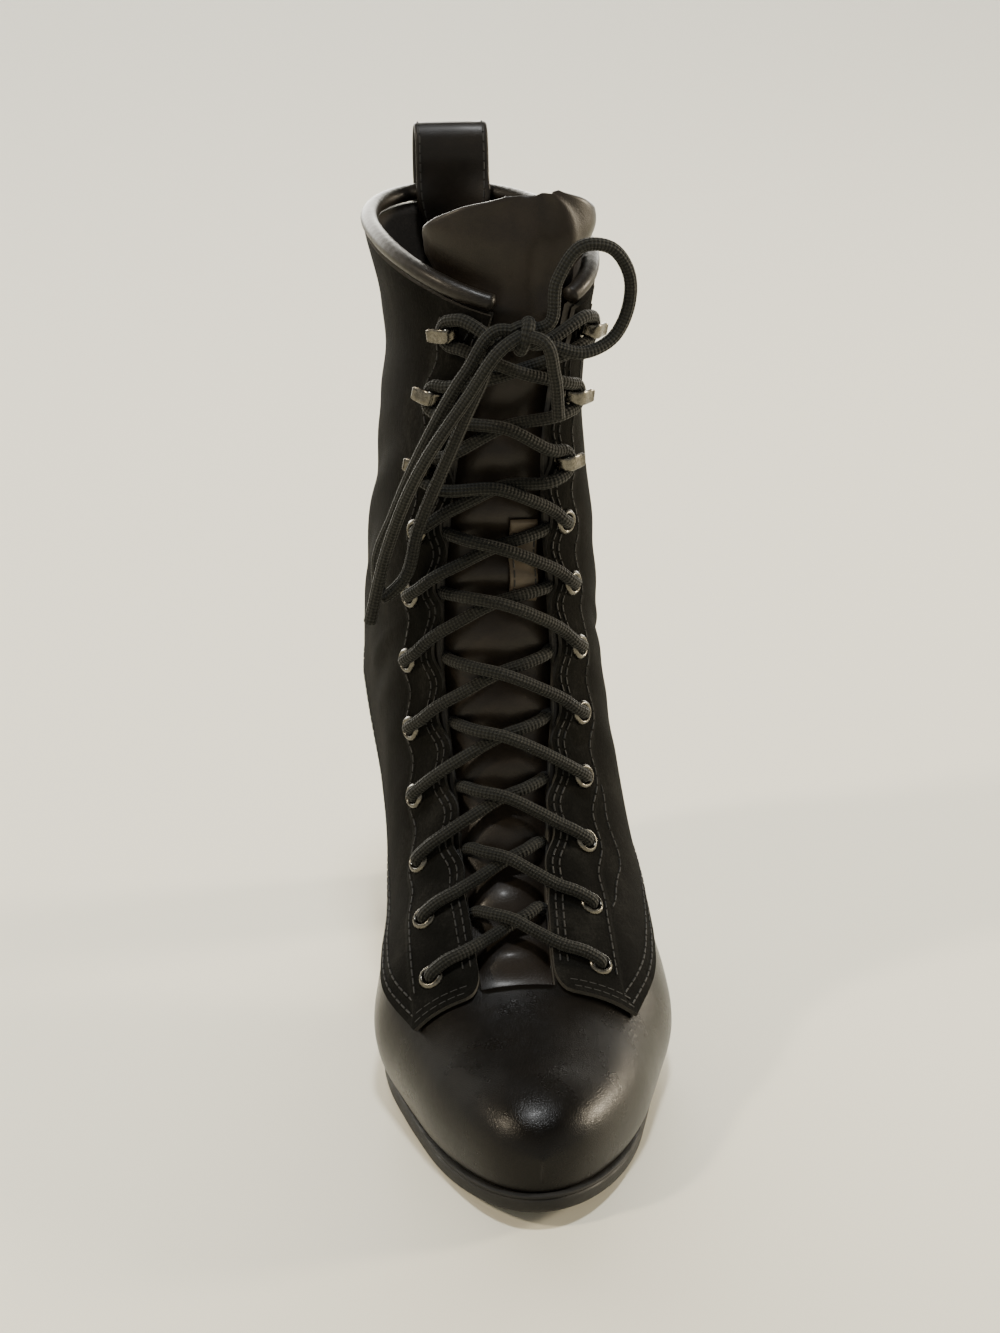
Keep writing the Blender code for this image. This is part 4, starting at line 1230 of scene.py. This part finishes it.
def make_quarter_stitches(word, side):
    """Rows along the throat, the eyestay's edge, the lower edge and the front, and the outer side's leaf."""
    builder = Builder()
    t = np.linspace(3.35, 16.8, 420)
    for offset in FACING_ROWS:
        add_stitches(builder, along_quarter(t, side, np.full_like(t, offset)))
    stay = lace_half(t, side) - section("gap", t) + EYESTAY_WIDE
    add_stitches(builder, along_quarter(t, side, stay - STAY_ROW))
    if side > 0:
        leaf = np.linspace(LACING[1] + 0.1, LACING[3], 80)
        width = LEAF_WIDE * np.sin(np.linspace(0, math.pi, 80)) ** 0.8
        inside = lace_half(leaf, side) - section("gap", leaf) + EYESTAY_WIDE + LEAF_INSIDE
        add_stitches(builder, along_quarter(leaf, side, inside + width))
    low = np.linspace(QUARTER_FRONT + 0.12, BORDER_BACK, 900)
    for rise in BORDER_ROWS:
        places = border_at(low, side, rise)
        keep = places < back_place(low, side * STITCH_BACK)
        add_stitches(builder, lifted(low[keep], places[keep], side, QUARTER_TOP + STITCH_LIFT))
    for rise in FRONT_ROWS:
        start, end = quarter_ends(np.array([QUARTER_FRONT + rise]), side)
        places = np.linspace(start[0] + 0.02, end[0] - 0.015, 60)
        add_stitches(builder, lifted(QUARTER_FRONT + rise, places, side, QUARTER_TOP + EYESTAY_RISE * 0.6))
    place_piece(builder.finish(f"stitches_{word}", [THREAD], sharp=60.0))


# Tongue, binding and loop

def tongue_lift(t, x):
    """Height of the tongue under the throat: pillows between the laces, flat under the facings."""
    gap = section("gap", t)
    deep = np.clip((t - TONGUE_DEEP_FROM) / TONGUE_DEEP_RUN, 0.0, 1.0)
    sink = TONGUE_SINK + (TONGUE_COLLAR_SINK - TONGUE_SINK) * deep
    ramp_in = smooth(t, *SWELL_STARTS) * (1 - SWELL_LOST * deep)
    pillow = 1 - PILLOW_WAVE + PILLOW_WAVE * np.cos(2 * math.pi * row_phase(t))
    swell = TONGUE_BULGE * ramp_in * pillow * np.clip(1 - (x / gap) ** 2, 0.0, 1.0)
    return swell - sink


def tongue_place(t, x, extra):
    """A point on the tongue, x across from the throat's middle, extra above its face."""
    t, x, extra = np.broadcast_arrays(np.asarray(t, float), np.asarray(x, float), extra)
    held = np.minimum(t, COLLAR)
    past = np.maximum(t - COLLAR, 0.0)
    side = np.where(x < 0, -1, 1)
    place = angle_at(held, side, np.abs(x))
    point = lifted(held, place, side, tongue_lift(held, x) + extra)
    share = section("widest", held) * (1 - np.cos(place * math.pi) ** section("top_k", held))
    lean = smooth(t, *LEAN_SPAN) * np.clip(x / TONGUE_LEAN_FROM, 0.0, 1.0) ** 2
    point[..., 0] += TONGUE_LEAN * lean
    front = section("top_y", held)
    point[..., 1] += (front - point[..., 1]) * TONGUE_FLAT * smooth(t, *FLAT_SPAN)
    point[..., 2] -= bow_at(held, share) * np.minimum(past, 1.0)
    point[..., 1] += TONGUE_BACK * past
    point[..., 2] += TONGUE_STEP * past
    return point


def tongue_folds(t, share):
    """Soft folds of the free top: one upright ridge at the outer side and two slack hollows."""
    rise = sum(fold.rise * np.exp(-((share - fold.at) / fold.width) ** 2) for fold in FOLDS)
    return smooth(t, *FREE_SPAN) * rise


def edge_round(share_t, share_x, reach_t, reach_x):
    """1 inside a plate and a round fall to 0 at its edges."""
    near = np.minimum(np.minimum(share_t, 1 - share_t) / reach_t, np.minimum(share_x, 1 - share_x) / reach_x)
    return np.sqrt(np.clip(1 - (1 - np.clip(near, 0.0, 1.0)) ** 2, 0.0, 1.0))


def close_ends(count, power=0.8):
    """Shares from 0 to 1 that lie closer together at both ends."""
    share = np.linspace(-1, 1, count)
    return (np.sign(share) * np.sin(np.abs(share) * math.pi / 2) ** power + 1) / 2


def make_tongue():
    """The padded tongue, with a rounded edge and its top standing free above the collar."""
    t = TONGUE_START + (TONGUE_END - TONGUE_START) * close_ends(230, 0.97)
    share = close_ends(64, 0.95)
    inner = column(TONGUE, "inner", t)[:, None]
    outer = column(TONGUE, "outer", t)[:, None]
    x = -inner + (inner + outer) * share[None, :]
    share_t = ((t - TONGUE_START) / (TONGUE_END - TONGUE_START))[:, None]
    body = edge_round(share_t, share[None, :], 0.012, 0.05)
    folds = tongue_folds(t[:, None], share[None, :])
    face = tongue_place(t[:, None], x, folds - TONGUE_THICK / 2 + body * TONGUE_THICK / 2)
    back = tongue_place(t[:, None], x, folds - TONGUE_THICK / 2 - body * TONGUE_THICK / 2)
    builder = Builder()
    builder.slab(face, back, (0, 1, 0))
    item = builder.finish("padded_tongue", [TONGUE_LEATHER, LINING], sharp=60.0, weld=0.01)
    place_piece(item, ["tongue"])


def make_tab():
    """The plain strap sewn on the tongue, with a row of stitches inside each edge."""
    t = np.linspace(TAB_LOW, TAB_HIGH, 40)
    share = close_ends(22, 0.9)
    x = TAB_FROM + TAB_WIDTH * share
    body = edge_round(np.linspace(0, 1, 40)[:, None], share[None, :], 0.03, 0.07)
    middle = TAB_LIFT + TAB_THICK / 2
    sag = 0.35 * np.sin(np.linspace(0, 3 * math.pi, 40))[:, None]
    face = tongue_place(t[:, None], x[None, :], sag + middle + body * TAB_THICK / 2)
    back = tongue_place(t[:, None], x[None, :], sag + middle - body * TAB_THICK / 2)
    builder = Builder()
    builder.slab(face, back)
    item = builder.finish("tongue_strap", [TAB_LEATHER], sharp=60.0, weld=0.01)
    place_piece(item, ["tongue_tab"])
    builder = Builder()
    for across in (1.3, TAB_WIDTH - 1.3):
        line = tongue_place(t[2:-2], TAB_FROM + across, sag[2:-2, 0] + TAB_LIFT + TAB_THICK + 0.05)
        add_stitches(builder, line)
    place_piece(builder.finish("stitches_strap", [THREAD], sharp=60.0))


def make_binding():
    """The leather roll around the collar, puckered a little by its seam."""
    halves = []
    for side in (-1, 1):
        start = angle_at(np.array([COLLAR]), side, section("gap", COLLAR))
        places, _ = arc_places(np.array([COLLAR]), side, start, np.ones(1), np.linspace(0, 1, 120))
        row = upper_point(COLLAR, places[0], side)
        row[:, 2] += BINDING_RADIUS + BINDING_RISE
        halves.append(row)
    line = curve_points(np.concatenate([halves[0][::3], halves[1][::-1][3::3], halves[1][:1]]), BINDING_STEP)
    run = np.arange(len(line)) * BINDING_STEP
    pulled = 0.018 * np.sin(run * 2 * math.pi / STITCH_STEP)
    slack = 0.03 * np.sin(run / 7.0) * np.sin(run / 17.0)
    builder = Builder()
    add_tube(builder, line, BINDING_RADIUS * (1 + pulled + slack), sides=20)
    place_piece(builder.finish("collar_roll", [STRAP_LEATHER], sharp=70.0), ["collar_binding"])


def loop_line(x):
    """The pull loop's strap at x across: up the outside, over and down the inside."""
    side = -1 if x < 0 else 1

    def on_back(t, lift):
        """A place on the back of section t, held off the upper by a lift."""
        return lifted(t, min(float(back_place(t, x)), 0.9999), side, lift)

    edge = on_back(COLLAR, 0.0)
    back = upper_point(COLLAR, 1.0, 1)
    line = [on_back(leg.at, leg.lift) for leg in LOOP_LEGS]
    for row in STRAP:
        flat = LOOP_FLAT * np.clip((row.rise - LOOP_FLAT_FROM) / LOOP_FLAT_RUN, 0.0, 1.0)
        middle = edge + (back - edge) * flat
        line.append(np.array([edge[0], middle[1] + row.off, middle[2] + row.rise]))
    line += [on_back(leg.at, LOOP_INSIDE) for leg in LOOP_LEGS[:0:-1]]
    return curve_points(line, 0.9)


def make_pull_loop():
    """The pull loop: a folded strap with rounded edges and two rows of stitches."""
    share = close_ends(25, 0.9)
    lines = [loop_line(-LOOP_WIDTH / 2 + LOOP_WIDTH * s) for s in share]
    count = min(len(line) for line in lines)
    grid = np.array([line[np.linspace(0, len(line) - 1, count).round().astype(int)] for line in lines])
    grid = np.swapaxes(grid, 0, 1)
    along = np.gradient(grid, axis=0)
    across = np.gradient(grid, axis=1)
    normal = np.cross(across, along)
    normal /= np.linalg.norm(normal, axis=-1, keepdims=True)
    body = edge_round(np.linspace(0, 1, count)[:, None], share[None, :], 0.012, 0.05)
    half = normal * (body * LOOP_THICK / 2)[..., None]
    builder = Builder()
    builder.slab(grid + half, grid - half)
    item = builder.finish("pull_strap", [STRAP_LEATHER], sharp=60.0, weld=0.01)
    place_piece(item, ["pull_loop"])
    builder = Builder()
    for column_at in (4, len(share) - 5):
        for sign in (-1, 1):
            add_stitches(builder, (grid + sign * half)[:, column_at] + sign * normal[:, column_at] * 0.05)
    place_piece(builder.finish("stitches_loop", [THREAD], sharp=60.0))


# Metal

def add_turned(builder, spot, axes, profile, sides, ends, end_slot=0):
    """A body turned about the outward axis, closed by points at the heights of its two ends."""
    normal, away, up = axes
    turns = np.linspace(0, 2 * math.pi, sides, endpoint=False)
    circle = np.cos(turns)[:, None] * away + np.sin(turns)[:, None] * up
    rings = builder.add([spot + normal * row.height + row.radius * circle for row in profile])
    builder.grid(rings, wrap=True)
    for ring, height in zip((rings[0], rings[-1]), ends):
        builder.fan(ring, spot + normal * height, end_slot)


def make_eyelet(name, t, side):
    """A rolled metal ring whose opening is closed by a near-black disc: painted shade inside the ring."""
    spot, *axes = facing_axes(t, side, METAL_LIFT)
    builder = Builder()
    # Both end discs take the second material; the one across the opening is painted shade inside the eyelet
    add_turned(builder, spot, axes, RING, 36, (-0.3, -0.2), 1)
    place_piece(builder.finish(f"ring_{name}", [METAL, HOLE_SHADE], sharp=70.0), [f"eyelet_{name}"])


def make_hook(name, t, side):
    """An open speed hook: a riveted plate and a bent strip that points away from the throat."""
    spot, *axes = facing_axes(t, side, METAL_LIFT)
    normal, away, up = axes
    fine = np.linspace(0, len(HOOK_STRIP) - 1, 48)
    u, n, wide = (through(range(len(HOOK_STRIP)), values, fine) for values in zip(*HOOK_STRIP))
    share = close_ends(13, 0.9)
    tilt = np.stack([np.gradient(u), np.gradient(n)], axis=-1)
    tilt /= np.linalg.norm(tilt, axis=1, keepdims=True)
    body = edge_round(np.linspace(0, 1, 48)[:, None], share[None, :], 0.02, 0.22) * HOOK_HALF_THICK
    plates = []
    for sign in (-1, 1):
        over = u[:, None] - sign * body * tilt[:, 1:2]
        rise = n[:, None] + sign * body * tilt[:, 0:1]
        shift = wide[:, None] * (share[None, :] - 0.5)
        plates.append(spot + over[..., None] * away + rise[..., None] * normal + shift[..., None] * up)
    builder = Builder()
    builder.slab(plates[1], plates[0])
    add_turned(builder, spot + away * RIVET_AWAY, axes, RIVET, 24, (-0.2, 1.47))
    place_piece(builder.finish(f"bent_{name}", [METAL], sharp=60.0, weld=0.005), [f"hook_{name}"])


# Laces

def on_boot(t, x, lift):
    """A point over the throat or a facing, x across from the throat's middle."""
    side = -1 if x < 0 else 1
    return lifted(t, angle_at(t, side, abs(x)), side, lift)


def eyelet_arm(number, side):
    """Stops of a lace that comes out of an eyelet and dips under the other facing below the next row."""
    low = LACING[number - 1]
    step = LACING[number] - low
    half = lace_half(low, side)
    gap = float(section("gap", low))
    over = LACE_OVER if side > 0 else LACE_UNDER
    spot, normal, away, _ = facing_axes(low, side, 0.0)
    stops = [spot + normal * 0.4, spot + normal * 3.4 - away * 0.3]
    band = half - gap
    # Across from the throat's middle, share of the way to the next row, and lift
    route = [
        (half - min(4.2, 0.5 * band), 0.05, 4.7),
        (gap + 0.15 * band, 0.14, 4.2),
        (gap * 0.62, 0.30, (over + 4.0) / 2),
        (0.0, 0.52, over),
        (-gap * 0.5, 0.67, (over + 2.0) / 2),
        (-(gap - 2.6), 0.80, 0.6),
        (-(gap + 1.2), 0.88, -3.2),
        (-(gap + 5.0), 0.94, -4.6),
    ]
    stops += [on_boot(low + step * rise, side * x, lift) for x, rise, lift in route]
    return stops


def hook_turn(number, side):
    """Stops of a lace that passes up through a hook."""
    spot, normal, away, up = facing_axes(LACING[number - 1], side, QUARTER_TOP + EYESTAY_RISE)
    return [spot + away * row.away + up * row.up + normal * row.lift for row in HOOK_PASS]


def top_lace(side):
    """Stops of a lace from the last eyelet through the hooks to the knot."""
    first = ROWS - HOOK_ROWS
    stops = eyelet_arm(first, side)[:5]
    here = -side
    for number in range(first + 1, ROWS + 1):
        middle = (LACING[number - 2] + LACING[number - 1]) / 2
        stops.append(on_boot(middle, 0.0, LACE_OVER if here < 0 else LACE_UNDER))
        stops += hook_turn(number, here)
        here = -here
    behind_knot = [(-3.0 * here, 4.0, -3.5), (0.0, 2.0, -1.0)]
    return stops + [np.add(KNOT, step) for step in behind_knot]


def make_laces():
    """The lacing: arms between the eyelets, and one lace on each side up through the hooks."""
    first = ROWS - HOOK_ROWS
    for number in range(1, first):
        for side, word in ((-1, "inner"), (1, "outer")):
            item = cord_tube(f"lace_{word}_{number:02d}", curve_points(eyelet_arm(number, side), LACE_STEP))
            place_piece(item, [f"lace_cross_{number:02d}"] if side < 0 else [])
    names = [f"lace_cross_{number:02d}" for number in range(first, ROWS + 1)]
    for side, word in ((-1, "inner"), (1, "outer")):
        item = cord_tube(f"lace_{word}_hooks", curve_points(top_lace(side), LACE_STEP))
        place_piece(item, names if side < 0 else [])


def make_knot():
    """The knot: the cord wound once around the middle of the bow, over a tucked turn."""
    turns = np.linspace(0, 2 * math.pi, 48, endpoint=False)
    cos = np.cos(turns)
    sin = np.sin(turns)
    wrap = np.stack([1.3 * sin, 3.3 * cos - 0.6, 4.0 * sin], axis=-1) + KNOT
    tuck = np.stack([4.6 * cos, 1.2 * np.sin(2 * turns) + 1.0, 2.6 * sin], axis=-1) + KNOT
    builder = Builder()
    for line, radius in ((wrap, LACE_RADIUS * 1.05), (tuck, LACE_RADIUS)):
        closed = np.concatenate([line[-2:], line, line[:2]])
        numbers = builder.add(tube_rings(closed, radius, CORD_SIDES)[2:-2])
        builder.grid(np.concatenate([numbers, numbers[:1]]), wrap=True)
    item = builder.finish("bow_knot", [LACE], sharp=70.0)
    layer = item.data.uv_layers.new(name="cord")
    for polygon in item.data.polygons:
        for loop in polygon.loop_indices:
            vertex = item.data.loops[loop].vertex_index
            layer.data[loop].uv = (vertex // CORD_SIDES * 0.05, vertex % CORD_SIDES / CORD_SIDES)
    return place_piece(item, ["lace_knot"])


def make_bow():
    """The bow's loops and ends as free cords that leave the knot."""
    knot = make_knot()
    for name, stops in BOW.items():
        points = curve_points(stops, BOW_STEP)
        item = cord_tube(name.replace("lace", "bow"), points)
        place_piece(item, [name])


# Stage, in the frame's metres

FLOOR_HALF = 6.0
FLOOR_COLOUR = (0.70, 0.67, 0.555, 1.0)

# Strengths of the studio's light, and the heights and depths (as sines) between which they blend
WALL_LIGHT = 17.0
CEILING_LIGHT = 0.12
CEILING_SPAN = (0.40, 0.75)
FRONT_SHARE = 0.05
BACK_SPAN = (0.62, 1.0)
WALL_COLOUR = (1.0, 0.965, 0.87, 1.0)

# The lamps stand where they show on the toe at the places of the photograph's highlights
TOE = (0.0, -0.11, 0.03)
Lamp = namedtuple("Lamp", "name place size watts colour")
LAMPS = [
    Lamp("overhead", (0.0, -0.30, 2.80), (0.30, 0.30), 56.0, (0.97, 0.99, 1.0)),
    Lamp("left", (-1.92, -0.45, 1.77), (0.24, 0.24), 44.0, (1.0, 0.86, 0.64)),
    Lamp("right", (2.10, 0.25, 0.60), (0.36, 0.28), 62.0, (1.0, 0.86, 0.64)),
]


def make_floor():
    """A plain pale floor."""
    mesh = bpy.data.meshes.new("floor")
    corners = [(x * FLOOR_HALF, y * FLOOR_HALF, 0) for x, y in ((-1, -1), (1, -1), (1, 1), (-1, 1))]
    mesh.from_pydata(corners, [], [(0, 1, 2, 3)])
    material, _, shader = new_material("floor")
    shader.inputs["Base Color"].default_value = FLOOR_COLOUR
    shader.inputs["Roughness"].default_value = 0.7
    mesh.materials.append(material)
    item = bpy.data.objects.new("floor", mesh)
    bpy.context.scene.collection.objects.link(item)


def aim(item, target):
    """Turns a camera or light to look at a place in the frame."""
    way = Vector(target) - item.location
    item.rotation_euler = way.to_track_quat("-Z", "Y").to_euler()


def add_light(lamp):
    """A soft square light that shines on the toe."""
    data = bpy.data.lights.new(lamp.name, "AREA")
    data.shape = "RECTANGLE"
    data.size, data.size_y = lamp.size
    data.energy = lamp.watts
    data.color = lamp.colour
    item = bpy.data.objects.new(lamp.name, data)
    bpy.context.scene.collection.objects.link(item)
    item.location = lamp.place
    aim(item, TOE)


def make_lights():
    """Plain soft studio light: a bright low wall behind the boot, a dark ceiling and three lamps."""
    world = bpy.data.worlds.new("studio")
    bpy.context.scene.world = world
    world.use_nodes = True
    tree = world.node_tree
    background = tree.nodes["Background"]
    background.inputs["Color"].default_value = WALL_COLOUR
    place = add_node(tree, "ShaderNodeTexCoord")
    parts = add_node(tree, "ShaderNodeSeparateXYZ")
    tree.links.new(place.outputs["Generated"], parts.inputs["Vector"])
    walls = spread(tree, parts.outputs["Z"], WALL_LIGHT, CEILING_LIGHT, *CEILING_SPAN)
    front = spread(tree, parts.outputs["Y"], FRONT_SHARE, 1.0, *BACK_SPAN)
    tree.links.new(math_node(tree, "MULTIPLY", walls, front), background.inputs["Strength"])
    for lamp in LAMPS:
        add_light(lamp)


# The photograph's camera in the tables' millimetres: place, and the middle of the boot in view
CAMERA_PLACE = (-93.4, -606.0, 426.0)
CAMERA_LENS = 45.0
CAMERA_SENSOR = 24.0
CAMERA_PITCH = 22.5
CAMERA_YAW = math.degrees(math.atan(0.0693))
FOCAL_PIXELS = 2500.0
PICTURE_MIDDLE = (500.0, 666.5)
BOOT_MIDDLE = (658.0, 648.0)


def make_camera():
    """The photograph's camera, turned so that the one boot is in the middle."""
    data = bpy.data.cameras.new("camera")
    data.sensor_fit = "VERTICAL"
    data.sensor_height = CAMERA_SENSOR
    data.lens = CAMERA_LENS
    data.clip_start = 0.01
    data.clip_end = 30.0
    item = bpy.data.objects.new("camera", data)
    bpy.context.scene.collection.objects.link(item)
    item.location = Vector(to_frame(CAMERA_PLACE))
    yaw = math.radians(CAMERA_YAW) + math.atan((BOOT_MIDDLE[0] - PICTURE_MIDDLE[0]) / FOCAL_PIXELS)
    pitch = math.radians(CAMERA_PITCH) + math.atan((BOOT_MIDDLE[1] - PICTURE_MIDDLE[1]) / FOCAL_PIXELS)
    way = Vector((math.sin(yaw) * math.cos(pitch), math.cos(yaw) * math.cos(pitch), -math.sin(pitch)))
    aim(item, item.location + way)
    bpy.context.scene.camera = item


make_camera()
make_bow()
make_laces()
make_sole()
make_insole()
make_heel()
make_upper()
for side_word, side_sign in (("inner", -1), ("outer", 1)):
    make_quarter(side_word, side_sign)
    for row_number, row_at in enumerate(LACING, start=1):
        piece_name = f"{side_word}_{row_number:02d}"
        if row_number <= ROWS - HOOK_ROWS:
            make_eyelet(piece_name, row_at, side_sign)
        else:
            make_hook(piece_name, row_at, side_sign)
make_tongue()
make_tab()
make_binding()
make_pull_loop()
make_floor()
make_lights()
